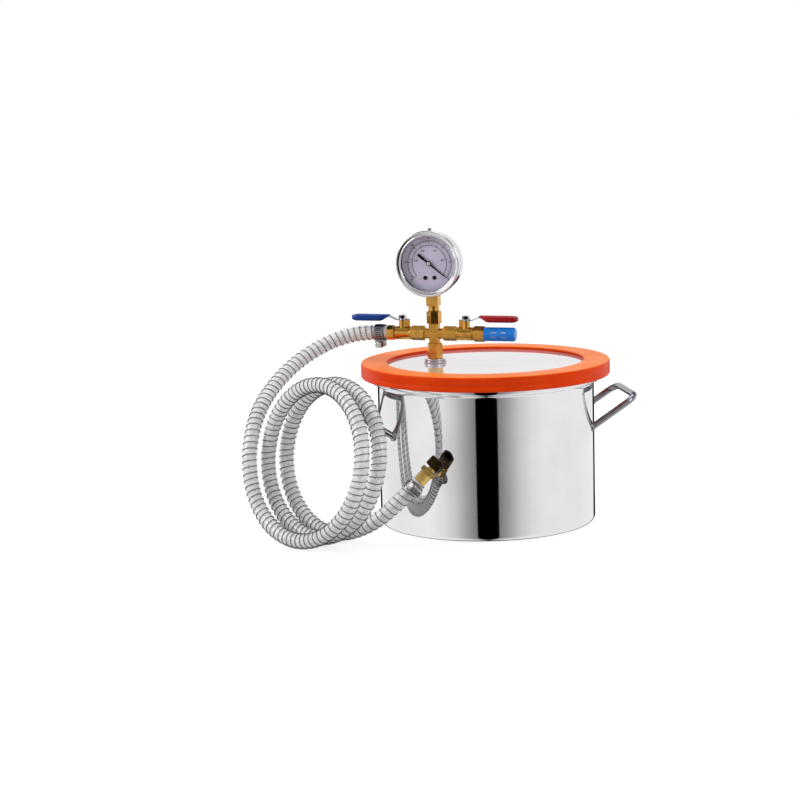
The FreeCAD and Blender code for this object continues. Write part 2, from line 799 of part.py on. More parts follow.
def make_sleeve():
    """Soft sleeve drawn over the lever's channel, thin at its neck."""
    top = lever_base() + lever_crank_rise + lever_thickness + sleeve_wall
    depth = lever_channel_depth + 2 * sleeve_wall
    start = lever_flat_length + lever_crank_length - sleeve_neck_overlap
    full = start + sleeve_neck_overlap + sleeve_neck_length
    body = moved(sleeve_outline(sleeve_wall).extrude(Vector(0, 0, depth)), Vector(0, 0, top - depth))
    level_edges = [edge for edge in body.Edges if edge.BoundBox.ZLength < 1e-6]
    rim_edges = [edge for edge in level_edges if edge.BoundBox.XMax > full - sleeve_wall]
    body = body.makeFillet(sleeve_edge_share * sleeve_wall, rim_edges)
    neck_depth = lever_thickness + 2 * sleeve_wall
    wedge_start = start - sleeve_neck_overlap
    wedge_end = full + 2 * sleeve_wall
    wedge_floor = top - depth - 2 * sleeve_wall
    wedge = [
        Vector(wedge_start, 0, top - neck_depth),
        Vector(wedge_end, 0, top - depth),
        Vector(wedge_end, 0, wedge_floor),
        Vector(wedge_start, 0, wedge_floor),
        Vector(wedge_start, 0, top - neck_depth),
    ]
    trim = Part.Face(Part.makePolygon(wedge)).extrude(Vector(0, 3 * lever_channel_width, 0))
    body = body.cut(moved(trim, Vector(0, -1.5 * lever_channel_width, 0)))
    lever = moved(make_lever(), Vector(-ball_station, 0, 0))
    room_base = top - sleeve_wall - lever_channel_depth
    room = moved(sleeve_outline(0).extrude(Vector(0, 0, lever_channel_depth)), Vector(0, 0, room_base))
    room_trim = moved(trim, Vector(0, 0, sleeve_wall))
    room = room.cut(moved(room_trim, Vector(0, -1.5 * lever_channel_width, 0)))
    sleeve = body.cut(room).cut(lever)
    solids = sorted(sleeve.Solids, key=lambda solid: solid.Volume)
    return moved(solids[-1], Vector(ball_station, 0, 0))


def make_lever_nut():
    """Plated flange nut that holds the lever on its stem."""
    base = lever_base() + lever_thickness
    nut = hexagon(lever_nut_flats, lever_nut_height, base, turn=lever_nut_turn_angle, chamfer_bottom=False)
    nut = nut.fuse(rod(lever_nut_flats * lever_nut_flange_share, lever_nut_flange, Vector(0, 0, base)))
    nut = nut.cut(rod(stem_diameter, lever_nut_height, Vector(0, 0, base)))
    return moved(nut.removeSplitter(), Vector(ball_station, 0, 0))


# Air filter

def make_filter_base():
    """Hexagonal base that screws on the valve, with a stub for the cap."""
    body = hexagon(filter_hex_flats, filter_hex_length, 0)
    body = body.fuse(rod(filter_stub_diameter, filter_stub_length, Vector(0, 0, filter_hex_length)))
    body = body.cut(rod(waterway, filter_hex_length + filter_stub_length))
    body = body.cut(rod(socket_diameter, valve_spigot_length))
    return moved(along_x(body.removeSplitter()), Vector(valve_shoulder, 0, 0))


def make_filter_cap():
    """Moulded cap with a rounded end and rings of long slots."""
    outer = filter_cap_diameter / 2
    inner = outer - filter_cap_wall
    length = filter_cap_length
    round_end = filter_end_radius
    shell = turned([
        section_point(filter_stub_diameter / 2 + filter_cap_gap, 0),
        section_point(outer, 0),
        section_arc(outer - round_end, length - round_end, round_end, 0, 90),
        section_point(0, length),
        section_point(0, length - filter_cap_wall),
        section_arc(outer - round_end, length - round_end, round_end - filter_cap_wall, 90, 0),
        section_point(inner, filter_stub_length),
        section_point(filter_stub_diameter / 2 + filter_cap_gap, filter_stub_length),
    ])
    slots = []
    for station in filter_slot_stations:
        for index in range(filter_slot_rows):
            slot = box(
                Vector(filter_cap_wall * 3, filter_slot_width, filter_slot_length),
                Vector(inner + filter_cap_wall / 2, 0, station + filter_slot_length / 2),
            )
            slots.append(tilted(slot, Z_AXIS, 360.0 * (index + 0.5) / filter_slot_rows))
    shell = shell.cut(slots)
    return moved(along_x(shell), Vector(valve_shoulder + filter_hex_length, 0, 0))


def make_filter_element():
    """Porous tube inside the cap."""
    outer = filter_cap_diameter - 2 * filter_cap_wall - 2 * filter_element_gap
    length = filter_cap_length - filter_stub_length - filter_end_radius
    element = ring(outer, outer - 2 * filter_element_wall, length)
    return moved(along_x(element), Vector(valve_shoulder + filter_hex_length + filter_stub_length, 0, 0))


# Barbed fittings, clamps and the swivel nut, made along +Z from the hose's end face, the hose below it

def barb_tail():
    """Barbed tail below the origin."""
    outline = [section_point(waterway / 2, 0), section_point(barb_root_diameter / 2, 0)]
    crest = hose_bore / 2 - barb_gap
    root = barb_root_diameter / 2
    step = barb_length / (barb_rings + 0.5)
    for index in range(barb_rings):
        height = -step * (index + 0.5)
        outline.append(section_point(root, height))
        outline.append(section_point(crest, height))
        outline.append(section_point(root, height - barb_slope_share * step))
    outline.append(section_point(root, -barb_length))
    outline.append(section_point(waterway / 2, -barb_length))
    return turned(outline)


def make_hose_barb():
    """Barb fitting on the left valve."""
    body = hexagon(barb_hex_flats, barb_hex_length, 0)
    body = body.cut(rod(waterway, barb_hex_length))
    socket_base = barb_hex_length - valve_spigot_length
    body = body.cut(rod(socket_diameter, valve_spigot_length, Vector(0, 0, socket_base)))
    body = body.fuse(barb_tail())
    return body.removeSplitter()


def make_end_barb():
    """Barb fitting at the hose's free end, with a neck and a flare that hold the swivel nut."""
    body = hexagon(end_body_flats, end_body_length, 0)
    collar = hexagon(end_collar_flats, end_collar_length, end_body_length, turn=end_collar_turn_angle)
    body = body.fuse(collar)
    neck_base = end_body_length + end_collar_length
    flare_base = neck_base + end_neck_shown + swivel_nut_back + swivel_play
    spout = turned([
        section_point(0, neck_base),
        section_point(end_neck_diameter / 2, neck_base),
        section_point(end_neck_diameter / 2, flare_base),
        section_point(end_flare_diameter / 2, flare_base + end_flare_rise),
        section_point(end_neck_diameter / 2, flare_base + end_flare_length),
        section_point(0, flare_base + end_flare_length),
    ])
    body = body.fuse(spout).cut(rod(waterway, flare_base + end_flare_length)).fuse(barb_tail())
    return body.removeSplitter()


def make_swivel_nut():
    """Nut that turns freely on the end fitting's neck."""
    base = end_body_length + end_collar_length + end_neck_shown
    nut = hexagon(swivel_nut_flats, swivel_nut_length, base, turn=swivel_nut_turn_angle)
    nut = nut.cut(rod(end_neck_diameter + 2 * swivel_gap, swivel_nut_length, Vector(0, 0, base)))
    relief_base = base + swivel_nut_back
    relief_length = end_flare_length + 2 * swivel_play
    nut = nut.cut(rod(swivel_nut_relief, relief_length, Vector(0, 0, relief_base)))
    thread_length = swivel_nut_length - swivel_nut_back - relief_length
    return nut.cut(rod(swivel_nut_bore, thread_length, Vector(0, 0, relief_base + relief_length)))


def make_clamp_band():
    """Clamp's steel band round the hose."""
    inner = hose_diameter + 2 * clamp_gap
    return ring(inner + 2 * clamp_band, inner, clamp_width, -clamp_offset - clamp_width)


def clamp_housing_centre():
    """Centre of the clamp's screw, on the side that faces +X before the clamp is turned."""
    reach = hose_diameter / 2 + clamp_gap + clamp_band
    return Vector(reach + clamp_housing_height / 2, 0, -clamp_offset - clamp_width / 2)


def make_clamp_housing():
    """Housing that is folded round the clamp's worm screw and seats on its band."""
    centre = clamp_housing_centre()
    width = clamp_width - 2 * clamp_housing_inset
    housing = box(Vector(clamp_housing_height, clamp_housing_length, width), centre)
    round_edges = [
        edge for edge in housing.Edges
        if abs(edge.tangentAt(edge.FirstParameter).y) > 0.99 and edge.BoundBox.Center.x > centre.x
    ]
    housing = housing.makeFillet(clamp_housing_round_share * clamp_housing_height, round_edges)
    foot = box(
        Vector(clamp_housing_foot, clamp_housing_length, width),
        Vector(centre.x - clamp_housing_height / 2 - clamp_housing_foot / 2, 0, centre.z),
    )
    band_outer = hose_diameter + 2 * clamp_gap + 2 * clamp_band
    housing = housing.fuse(foot).cut(rod(band_outer, clamp_width, Vector(0, 0, -clamp_offset - clamp_width)))
    bore = rod(clamp_screw_diameter, 2 * clamp_housing_length, centre - Y_AXIS * clamp_housing_length, Y_AXIS)
    return housing.cut(bore).removeSplitter()


def make_clamp_screw():
    """Worm screw with a slotted hexagonal head."""
    centre = clamp_housing_centre()
    length = clamp_housing_length + 2 * clamp_screw_stand
    shank = rod(clamp_screw_diameter, length, Vector(0, 0, -clamp_screw_stand))
    head_base = length - clamp_screw_stand
    head = hexagon(clamp_screw_head_flats, clamp_screw_head_height, head_base, chamfer_bottom=False)
    screw = shank.fuse(head)
    slot_size = Vector(clamp_screw_slot_width, 2 * clamp_screw_head_flats, 2 * clamp_screw_slot_depth)
    slot = box(slot_size, Vector(0, 0, head_base + clamp_screw_head_height))
    screw = screw.cut(slot).removeSplitter()
    screw = tilted(screw, X_AXIS, 90)
    return moved(screw, centre + Y_AXIS * (clamp_housing_length / 2))


# Hose

def coil_radius(degrees):
    """Radius of the coil at an angle along its turns."""
    return coil_first_radius - coil_radius_loss * (degrees - coil_first_angle) / 360


def coil_axes():
    """The coil's axis, and the level and rising directions in the plane of its turns."""
    turn = math.radians(coil_axis_angle)
    lean = math.radians(coil_lean_angle)
    axis = Vector(-math.sin(turn), -math.cos(turn), 0)
    level = Vector(math.cos(turn), -math.sin(turn), 0)
    rising = Z_AXIS * math.cos(lean) - axis * math.sin(lean)
    return axis, level, rising


def coil_point(degrees):
    """Centre of the hose at an angle along the coil's turns."""
    axis, level, rising = coil_axes()
    radius = coil_radius(degrees)
    turn = math.radians(degrees)
    centre = coil_centre + Z_AXIS * (hose_diameter / 2 + radius * math.cos(math.radians(coil_lean_angle)))
    shift = axis * (coil_pitch * (coil_middle_angle - degrees) / 360)
    return centre + shift + level * (radius * math.cos(turn)) + rising * (radius * math.sin(turn))


def make_hose_tube(points, bored_end):
    """Round hose along its route, bored where a barb goes in. Prints its bends' radii and its volume."""
    edges, radii = bent_path(points)
    length = sum(edge.Length for edge in edges)
    tube = pipe(edges, hose_diameter / 2)
    expected = math.pi * (hose_diameter / 2) ** 2 * length
    print("hose radii", [round(radius) for radius in radii], "length", round(length))
    print("hose volume over section times length", round(tube.Volume / expected, 4))
    end, inner = (points[0], points[1]) if bored_end == "first" else (points[-1], points[-2])
    bore = rod(hose_bore, barb_length + barb_bore_extra, end, inner - end)
    return tube.cut(bore)


def make_hose_coil():
    """Outer shape of the coil's turns: a leaning ring that stands on the floor."""
    axis, level, rising = coil_axes()
    half_width = coil_pitch * (coil_middle_angle - coil_first_angle) / 360 + hose_diameter / 2
    outer = coil_first_radius + hose_diameter / 2
    inner = coil_first_radius - hose_diameter / 2 - 2 * coil_slack
    edge = hose_diameter / 3
    body = turned([
        section_point(inner, -half_width),
        section_arc(outer - edge, -half_width + edge, edge, -90, 0),
        section_arc(outer - edge, half_width - edge, edge, 0, 90),
        section_point(inner, half_width),
    ])
    normal = level.cross(rising)
    height = hose_diameter / 2 + coil_first_radius * math.cos(math.radians(coil_lean_angle))
    body.Placement = FreeCAD.Placement(
        coil_centre + Z_AXIS * height,
        FreeCAD.Rotation(level, rising, normal, "XYZ"),
    )
    below = box(Vector(8 * outer, 8 * outer, 2 * outer), coil_centre - Z_AXIS * outer)
    return body.cut(below)


# Gauge, made with its dial in the XY plane and facing +Z, then turned to face -Y

def leaned(shape):
    """Copy of an upright piece with the slight lean of the gauge's stack on its loose thread."""
    return moved(tilted(shape, Y_AXIS, -gauge_lean_angle, gauge_root), Z_AXIS * gauge_lean_lift)


def stand_gauge(shape):
    """Gauge piece turned upright, facing the front, at its centre on the stem."""
    return leaned(moved(tilted(shape, X_AXIS, 90), gauge_centre))


def make_gauge_case():
    """Pressed case with a flange that the bezel is rolled over, a hole below for the socket and one above."""
    outer = gauge_case_diameter / 2
    inner = outer - gauge_case_wall
    corner = gauge_case_corner
    back = -gauge_case_back
    flange_back = gauge_flange_front - gauge_case_wall
    case = turned([
        section_point(0, back),
        section_arc(outer - corner, back + corner, corner, -90, 0),
        section_point(outer, flange_back),
        section_point(gauge_flange_diameter / 2, flange_back),
        section_point(gauge_flange_diameter / 2, gauge_flange_front),
        section_point(inner, gauge_flange_front),
        section_arc(outer - corner, back + corner, corner - gauge_case_wall, 0, -90),
        section_point(0, back + gauge_case_wall),
    ])
    case = case.cut(rod(socket_collar_diameter + 2 * socket_collar_gap, outer, Vector(0, 0, 0), -Y_AXIS))
    plug_hole = rod(plug_stem_diameter, outer, Vector(0, 0, plug_station), Y_AXIS)
    return case.cut(plug_hole)


def make_gauge_bezel():
    """Polished ring rolled over the case's flange, which holds the lens."""
    outer = gauge_bezel_diameter / 2
    flange = gauge_flange_diameter / 2 + gauge_bezel_gap
    flange_back = gauge_flange_front - gauge_case_wall - gauge_bezel_gap
    back = flange_back - gauge_bezel_wall
    lip_back = gauge_flange_front + lens_seal_thickness + lens_thickness
    front = lip_back + gauge_bezel_lip
    lip = gauge_bezel_lip_diameter / 2
    return turned([
        section_point(gauge_case_diameter / 2 + gauge_bezel_gap, back),
        section_point(outer - gauge_bezel_edge_chamfer, back),
        section_point(outer, back + gauge_bezel_edge_chamfer),
        section_arc(outer - gauge_bezel_round, front - gauge_bezel_round, gauge_bezel_round, 0, 90),
        section_arc(lip + gauge_bezel_lip / 2, front - gauge_bezel_lip / 2, gauge_bezel_lip / 2, 90, 180),
        section_point(lip, lip_back),
        section_point(flange, lip_back),
        section_point(flange, flange_back),
        section_point(gauge_case_diameter / 2 + gauge_bezel_gap, flange_back),
    ])


def make_lens():
    """Clear disc behind the bezel's lip."""
    return rod(gauge_flange_diameter, lens_thickness, Vector(0, 0, gauge_flange_front + lens_seal_thickness))


def make_lens_seal():
    """Rubber ring between the case's flange and the lens."""
    inner = gauge_flange_diameter - 2 * lens_seal_width
    return ring(gauge_flange_diameter, inner, lens_seal_thickness, gauge_flange_front)


def dial_screw_places():
    """Places of the two dial screws."""
    return [Vector(side * dial_screw_x, -dial_screw_drop, 0) for side in (-1, 1)]


def make_dial():
    """Printed dial plate with holes for its arbor and its screws."""
    back = dial_face - dial_thickness
    dial = rod(dial_diameter, dial_thickness, Vector(0, 0, back))
    dial = dial.cut(rod(arbor_diameter + 2 * dial_hole_gap, dial_thickness, Vector(0, 0, back)))
    for place in dial_screw_places():
        dial = dial.cut(rod(dial_screw_shank, dial_thickness, place + Z_AXIS * back))
    return dial


def make_dial_screws():
    """Two slotted screws that hold the dial on the movement."""
    screws = []
    for place in dial_screw_places():
        head = rod(dial_screw_diameter, dial_screw_head, place + Z_AXIS * dial_face)
        shank = rod(dial_screw_shank, dial_screw_length, place + Z_AXIS * (dial_face - dial_screw_length))
        slot_size = Vector(dial_screw_diameter, dial_screw_slot, dial_screw_head)
        slot = box(slot_size, place + Z_AXIS * (dial_face + dial_screw_head))
        slot = tilted(slot, Z_AXIS, dial_screw_turn_angle, place)
        screws.append(head.fuse(shank).cut(slot).removeSplitter())
    return Part.makeCompound(screws)


def make_needle():
    """Balanced pointer with its hub, arbor and pinion."""
    root_end = -0.45 * needle_tail
    tail_start = -0.6 * needle_tail
    flat = [
        Vector(needle_reach, -needle_tip_width / 2, 0),
        Vector(needle_reach, needle_tip_width / 2, 0),
        Vector(0, needle_root_width / 2, 0),
        Vector(root_end, needle_root_width / 2, 0),
        Vector(tail_start, needle_tail_width / 2, 0),
        Vector(-needle_tail, needle_tail_width / 2, 0),
        Vector(-needle_tail, -needle_tail_width / 2, 0),
        Vector(tail_start, -needle_tail_width / 2, 0),
        Vector(root_end, -needle_root_width / 2, 0),
        Vector(0, -needle_root_width / 2, 0),
        Vector(needle_reach, -needle_tip_width / 2, 0),
    ]
    pointer = Part.Face(Part.makePolygon(flat)).extrude(Vector(0, 0, needle_thickness))
    level = dial_face + needle_rise
    pointer = moved(pointer, Vector(0, 0, level))
    hub = rod(needle_hub_diameter, needle_hub_height, Vector(0, 0, level - needle_hub_drop))
    arbor_base = movement_back() + arbor_end_gap
    arbor = rod(arbor_diameter, level - arbor_base, Vector(0, 0, arbor_base))
    pinion = rod(pinion_diameter, 2 * sector_thickness, Vector(0, 0, sector_level() - sector_thickness / 2))
    needle = pointer.fuse(hub).fuse(arbor).fuse(pinion).removeSplitter()
    return tilted(needle, Z_AXIS, needle_rest_angle)


def sector_level():
    """Height of the sector's underside behind the dial."""
    return dial_face - dial_thickness - movement_depth / 2 - sector_thickness / 2


def sector_pivot():
    """Where the toothed sector turns, below the arbor."""
    return Vector(0, -(sector_radius + pinion_diameter / 2 + sector_gap), 0)


def make_sector():
    """Sector that drives the pinion, with its pivot pin and its short tail."""
    pivot = sector_pivot()
    level = sector_level()
    arc_points = [polar(sector_radius, 90 + angle) for angle in (-sector_half_angle, 0, sector_half_angle)]
    hub_radius = sector_hub_diameter / 2
    root_points = [polar(hub_radius, 90 - sector_fan_angle), polar(hub_radius, 90 + sector_fan_angle)]
    outline = [
        Part.LineSegment(root_points[0], arc_points[0]).toShape(),
        Part.Arc(*arc_points).toShape(),
        Part.LineSegment(arc_points[2], root_points[1]).toShape(),
        Part.LineSegment(root_points[1], root_points[0]).toShape(),
    ]
    fan = Part.Face(Part.Wire(outline)).extrude(Vector(0, 0, sector_thickness))
    fan = fan.fuse(rod(sector_hub_diameter, sector_thickness))
    tail_size = Vector(sector_tail, sector_hub_diameter / 2, sector_thickness)
    tail = box(tail_size, Vector(-sector_tail / 2, 0, sector_thickness / 2))
    pin_base = -(movement_depth / 2 - sector_thickness / 2) + arbor_end_gap
    pin = rod(arbor_diameter, movement_depth - 2 * arbor_end_gap, Vector(0, 0, pin_base))
    sector = moved(fan.fuse(tail).fuse(pin).removeSplitter(), pivot + Z_AXIS * level)
    return tilted(sector, Z_AXIS, sector_travel() / 2, pivot)


def sector_travel():
    """Degrees that the sector turns for the needle's whole sweep."""
    return needle_sweep_angle * pinion_diameter / 2 / sector_radius


def make_movement():
    """Two plates on posts that carry the arbor and the sector behind the dial."""
    top = dial_face - dial_thickness
    upper = movement_top
    lower = -(socket_block_top + movement_drop)
    height = upper - lower
    middle = (upper + lower) / 2
    frame = None
    for base in (top - movement_plate, top - movement_depth):
        centre = Vector(0, middle, base + movement_plate / 2)
        plate = box(Vector(movement_width, height, movement_plate), centre)
        frame = plate if frame is None else frame.fuse(plate)
    for place in (Vector(0, upper - movement_post_inset, 0), Vector(0, lower + movement_post_inset, 0)):
        frame = frame.fuse(rod(movement_post, movement_depth, place + Z_AXIS * (top - movement_depth)))
    bore = arbor_diameter + 2 * arbor_gap
    for place in (Vector(0, 0, 0), sector_pivot()):
        frame = frame.cut(rod(bore, movement_depth, place + Z_AXIS * (top - movement_depth)))
    screw_tip = Z_AXIS * (dial_face - dial_screw_length)
    for place in dial_screw_places():
        frame = frame.cut(rod(dial_screw_shank, dial_screw_length, place + screw_tip))
    return frame.removeSplitter()


def make_gauge_socket():
    """Brass socket: thread, neck, square, and the block inside that holds the tube and the movement."""
    case_radius = gauge_case_diameter / 2
    square_top = -case_radius - socket_top_gap
    square_bottom = square_top - socket_height
    coupling_top = -(gauge_centre_rise - cross_arm - gauge_coupling_height)
    square = box(
        Vector(socket_flats, socket_height, socket_flats),
        Vector(0, (square_top + square_bottom) / 2, 0),
    )
    upright = [edge for edge in square.Edges if abs(edge.tangentAt(edge.FirstParameter).y) > 0.99]
    square = square.makeChamfer(socket_chamfer, upright)
    neck = rod(socket_neck_diameter, square_bottom - coupling_top, Vector(0, coupling_top, 0), Y_AXIS)
    thread_length = gauge_coupling_height - spigot_length
    thread = rod(thread_diameter, thread_length, Vector(0, coupling_top - thread_length, 0), Y_AXIS)
    collar = rod(socket_collar_diameter, socket_collar_height, Vector(0, square_top, 0), Y_AXIS)
    foot_bottom = gauge_case_wall + socket_foot_gap - case_radius
    foot = box(
        Vector(socket_block_width, -socket_block_top - foot_bottom, socket_foot_depth),
        Vector(0, (foot_bottom - socket_block_top) / 2, movement_back() - socket_foot_depth / 2),
    )
    step = box(
        Vector(socket_block_width, socket_step_height, 2 * socket_foot_depth),
        Vector(0, foot_bottom + socket_step_height / 2, movement_back()),
    )
    socket = square.fuse(neck).fuse(thread).fuse(collar).fuse(foot).fuse(step).fuse(socket_block())
    bore_length = square_top + socket_collar_height / 2 - coupling_top + thread_length
    bore = rod(socket_bore, bore_length, Vector(0, coupling_top - thread_length, 0), Y_AXIS)
    return socket.cut(bore).removeSplitter()


def movement_back():
    """Height of the movement's rear face behind the dial."""
    return dial_face - dial_thickness - movement_depth


def socket_block():
    """Block inside the case that carries the movement on its face and the spring tube at its side."""
    bottom = gauge_case_wall + gauge_case_corner / 2 - gauge_case_diameter / 2
    top = -socket_block_top
    return box(
        Vector(socket_block_width, top - bottom, bourdon_width),
        Vector(0, (top + bottom) / 2, movement_back() - bourdon_width / 2),
    )


def make_bourdon_tube():
    """Flattened spring tube bent round the inside of the case."""
    front = movement_back()
    outer = bourdon_radius + bourdon_thickness / 2
    inner = bourdon_radius - bourdon_thickness / 2
    face = turned_section_face(inner, outer, front - bourdon_width, front)
    tube = face.revolve(Vector(0, 0, 0), Z_AXIS, bourdon_sweep_angle)
    tube = tilted(tube, Z_AXIS, bourdon_start_angle).cut(socket_block())
    tip = polar(bourdon_radius, bourdon_start_angle + bourdon_sweep_angle - bourdon_tip_angle)
    link_level = sector_level() - 2 * link_thickness
    post_base = front - bourdon_thickness / 2
    post_top = link_level + link_thickness
    post_centre = Vector(tip.x, tip.y, (post_base + post_top) / 2)
    post = box(Vector(link_width, link_width, post_top - post_base), post_centre)
    pivot = sector_pivot()
    reach = sector_tail + link_gap
    end = pivot + tilted_point(Vector(-reach, 0, 0), sector_travel() / 2)
    length = tip.distanceToPoint(Vector(end.x, end.y, 0))
    link_centre = Vector(length / 2, 0, link_level + link_thickness / 2)
    link = box(Vector(length, link_width, link_thickness), link_centre)
    angle = math.degrees(math.atan2(end.y - tip.y, end.x - tip.x))
    link = moved(tilted(link, Z_AXIS, angle), tip)
    return tube.fuse(post).fuse(link).removeSplitter()


def tilted_point(point, degrees):
    """Point turned about Z through the origin."""
    return FreeCAD.Rotation(Z_AXIS, degrees).multVec(point)


def turned_section_face(inner, outer, low, high):
    """Rounded flat section between two radii, drawn in the XZ plane."""
    half = (outer - inner) / 2
    middle = (outer + inner) / 2
    edges = section_path([
        section_arc(middle, low + half, half, 180, 360),
        section_arc(middle, high - half, half, 0, 180),
    ])
    return Part.Face(Part.Wire(edges))


def make_fill_plug():
    """Rubber plug in the top of the case."""
    radius = gauge_case_diameter / 2
    stem = rod(plug_stem_diameter, plug_stem_length, Vector(0, radius - plug_stem_drop, plug_station), Y_AXIS)
    head = rod(plug_diameter, plug_height, Vector(0, radius, plug_station), Y_AXIS)
    crown = [edge for edge in head.Edges if abs(edge.BoundBox.YMin - radius - plug_height) < 1e-6]
    head = head.makeFillet(plug_round, crown)
    case = rod(gauge_case_diameter, gauge_case_back + gauge_flange_front, Vector(0, 0, -gauge_case_back))
    head = head.cut(case)
    return stem.fuse(head).removeSplitter()


# Where each side of the manifold stands

def place_right(shape):
    """Piece of the right valve at its place."""
    return moved(shape, manifold_centre)


def place_left(shape):
    """Piece of the left valve at its place: the right one turned half round."""
    return moved(tilted(shape, Z_AXIS, 180), manifold_centre)


def fitting_placement(end_face, towards, roll):
    """Placement of a hose fitting whose hose lies behind its end face."""
    direction = Vector(towards).normalize()
    placement = FreeCAD.Placement(end_face, FreeCAD.Rotation(Z_AXIS, direction))
    return placement.multiply(FreeCAD.Placement(Vector(0, 0, 0), FreeCAD.Rotation(Z_AXIS, roll)))


def at_placement(shape, placement):
    """Copy of a shape at a placement."""
    result = shape.copy()
    result.Placement = placement.multiply(shape.Placement)
    return result


def build():
    """Every node's shape by name."""
    shapes = {
        "pot": make_pot(),
        "handle_right": make_handle(handle_turn_angle),
        "handle_left": make_handle(handle_turn_angle + 180),
        "lid_gasket": make_lid_gasket(),
        "lid_plate": make_lid_plate(),
        "lid_washer_lower": make_lid_washer(washer_lower_diameter, washer_lower_thickness, lid_top),
        "lid_washer_upper": make_lid_washer(
            washer_upper_diameter, washer_upper_thickness, lid_top + washer_lower_thickness
        ),
        "lid_washer_under": make_lid_washer(
            under_washer_diameter, under_washer_thickness, lid_bottom - under_washer_thickness
        ),
        "lid_nut": make_lid_nut(),
        "lid_coupling": make_lid_coupling(),
        "manifold_cross": make_cross(),
        "gauge_coupling": make_gauge_coupling(),
    }
    valve_pieces = {
        "valve_body": make_valve_body,
        "valve_retainer": make_retainer,
        "valve_seats": make_seats,
        "valve_ball": make_ball,
        "valve_stem": make_stem,
        "valve_packing": make_packing,
        "valve_lever": make_lever,
        "valve_sleeve": make_sleeve,
        "valve_lever_nut": make_lever_nut,
    }
    for name, make in valve_pieces.items():
        piece = make()
        shapes["right_" + name] = place_right(piece)
        shapes["left_" + name] = place_left(piece)
    shapes["filter_base"] = place_right(make_filter_base())
    shapes["filter_cap"] = place_right(make_filter_cap())
    shapes["filter_element"] = place_right(make_filter_element())

    near_face = manifold_centre - X_AXIS * (valve_shoulder + barb_hex_length)
    near = fitting_placement(near_face, X_AXIS, 0)
    far_face = tail_points[-1]
    far = fitting_placement(far_face, tail_points[-1] - tail_points[-2], 0)
    shapes["hose_barb"] = at_placement(make_hose_barb(), near)
    shapes["hose_end_barb"] = at_placement(make_end_barb(), far)
    shapes["swivel_nut"] = at_placement(make_swivel_nut(), far)
    for side, frame in (("near", near), ("far", far)):
        turn = FreeCAD.Placement(Vector(0, 0, 0), FreeCAD.Rotation(Z_AXIS, clamp_turn_angles[side]))
        place = frame.multiply(turn)
        shapes[side + "_clamp_band"] = at_placement(make_clamp_band(), place)
        shapes[side + "_clamp_housing"] = at_placement(make_clamp_housing(), place)
        shapes[side + "_clamp_screw"] = at_placement(make_clamp_screw(), place)

    first_straight = near_face - X_AXIS * barb_straight
    run = [near_face, first_straight] + run_points + [coil_point(angle) for angle in run_last_angles]
    shapes["hose_run"] = make_hose_tube(run, "first")
    shapes["hose_coil"] = make_hose_coil()
    shapes["hose_tail"] = make_hose_tube(tail_points, "last")

    shapes["gauge_case"] = stand_gauge(make_gauge_case())
    shapes["gauge_bezel"] = stand_gauge(make_gauge_bezel())
    shapes["gauge_lens"] = stand_gauge(make_lens())
    shapes["gauge_lens_seal"] = stand_gauge(make_lens_seal())
    shapes["gauge_dial"] = stand_gauge(make_dial())
    shapes["gauge_dial_screws"] = stand_gauge(make_dial_screws())
    shapes["gauge_needle"] = stand_gauge(make_needle())
    shapes["gauge_movement"] = stand_gauge(make_movement())
    shapes["gauge_sector"] = stand_gauge(make_sector())
    shapes["gauge_socket"] = stand_gauge(make_gauge_socket())
    shapes["gauge_bourdon_tube"] = stand_gauge(make_bourdon_tube())
    shapes["gauge_fill_plug"] = stand_gauge(make_fill_plug())
    return shapes

os.makedirs("parts", exist_ok=True)
for node, shape in build().items():
    if not shape.isValid():
        print("not valid:", node)
    shape.exportStep(os.path.join("parts", node + ".step"))
    print(node, len(shape.Solids), round(shape.Volume))
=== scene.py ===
"""Looks of a vacuum degassing chamber: pot, gasket, clear lid, brass manifold, gauge and hose."""

import logging
import math
from dataclasses import dataclass, field
from enum import Enum
from typing import Any

import bmesh
import bpy
from mathutils import Matrix, Vector


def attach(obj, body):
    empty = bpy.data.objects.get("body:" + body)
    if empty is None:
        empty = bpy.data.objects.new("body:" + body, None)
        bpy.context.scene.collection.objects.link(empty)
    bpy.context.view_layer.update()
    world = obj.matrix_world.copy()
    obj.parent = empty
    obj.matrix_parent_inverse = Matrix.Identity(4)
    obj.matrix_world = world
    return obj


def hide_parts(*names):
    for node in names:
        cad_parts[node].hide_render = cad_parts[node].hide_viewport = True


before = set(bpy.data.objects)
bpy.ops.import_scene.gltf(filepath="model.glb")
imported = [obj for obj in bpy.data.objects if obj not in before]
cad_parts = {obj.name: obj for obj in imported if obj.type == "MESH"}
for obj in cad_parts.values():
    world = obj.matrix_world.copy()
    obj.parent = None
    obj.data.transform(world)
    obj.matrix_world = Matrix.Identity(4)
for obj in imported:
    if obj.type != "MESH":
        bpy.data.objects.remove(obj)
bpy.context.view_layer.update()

LOG = logging.getLogger("chamber")
MM = 0.001
FULL_TURN = 2 * math.pi

Point = tuple[float, float, float]
Colour = tuple[float, float, float, float]
Stops = list[tuple[float, Any]]
# Sizes that belong together.
Pair = tuple[float, float]
Triple = tuple[float, float, float]
Station = tuple[float, float, float, float]

# Places in millimetres that are closer than this are taken as the same.
TOUCH = 0.01
# A section that is turned into a disc starts this far from its axis, in millimetres.
AXIS = 0.01
# Corners closer than this are merged, in millimetres.
MERGED = 1e-4
# Upward part of the normal under which a face stands upright, and over which it lies level.
UPRIGHT = 0.1
LEVEL = 0.9

# Where the manifold's cross and both ends of the hose lie, in millimetres.
CROSS_CENTRE: Point = (-58.0, -8.0, 218.5)
HOSE_START: Point = (-114.7, -8.0, 218.5)
HOSE_END: Point = (-36.6, -147.8, 71.5)


def grey(value: float) -> Colour:
    """Grey of a linear value."""
    return value, value, value, 1.0


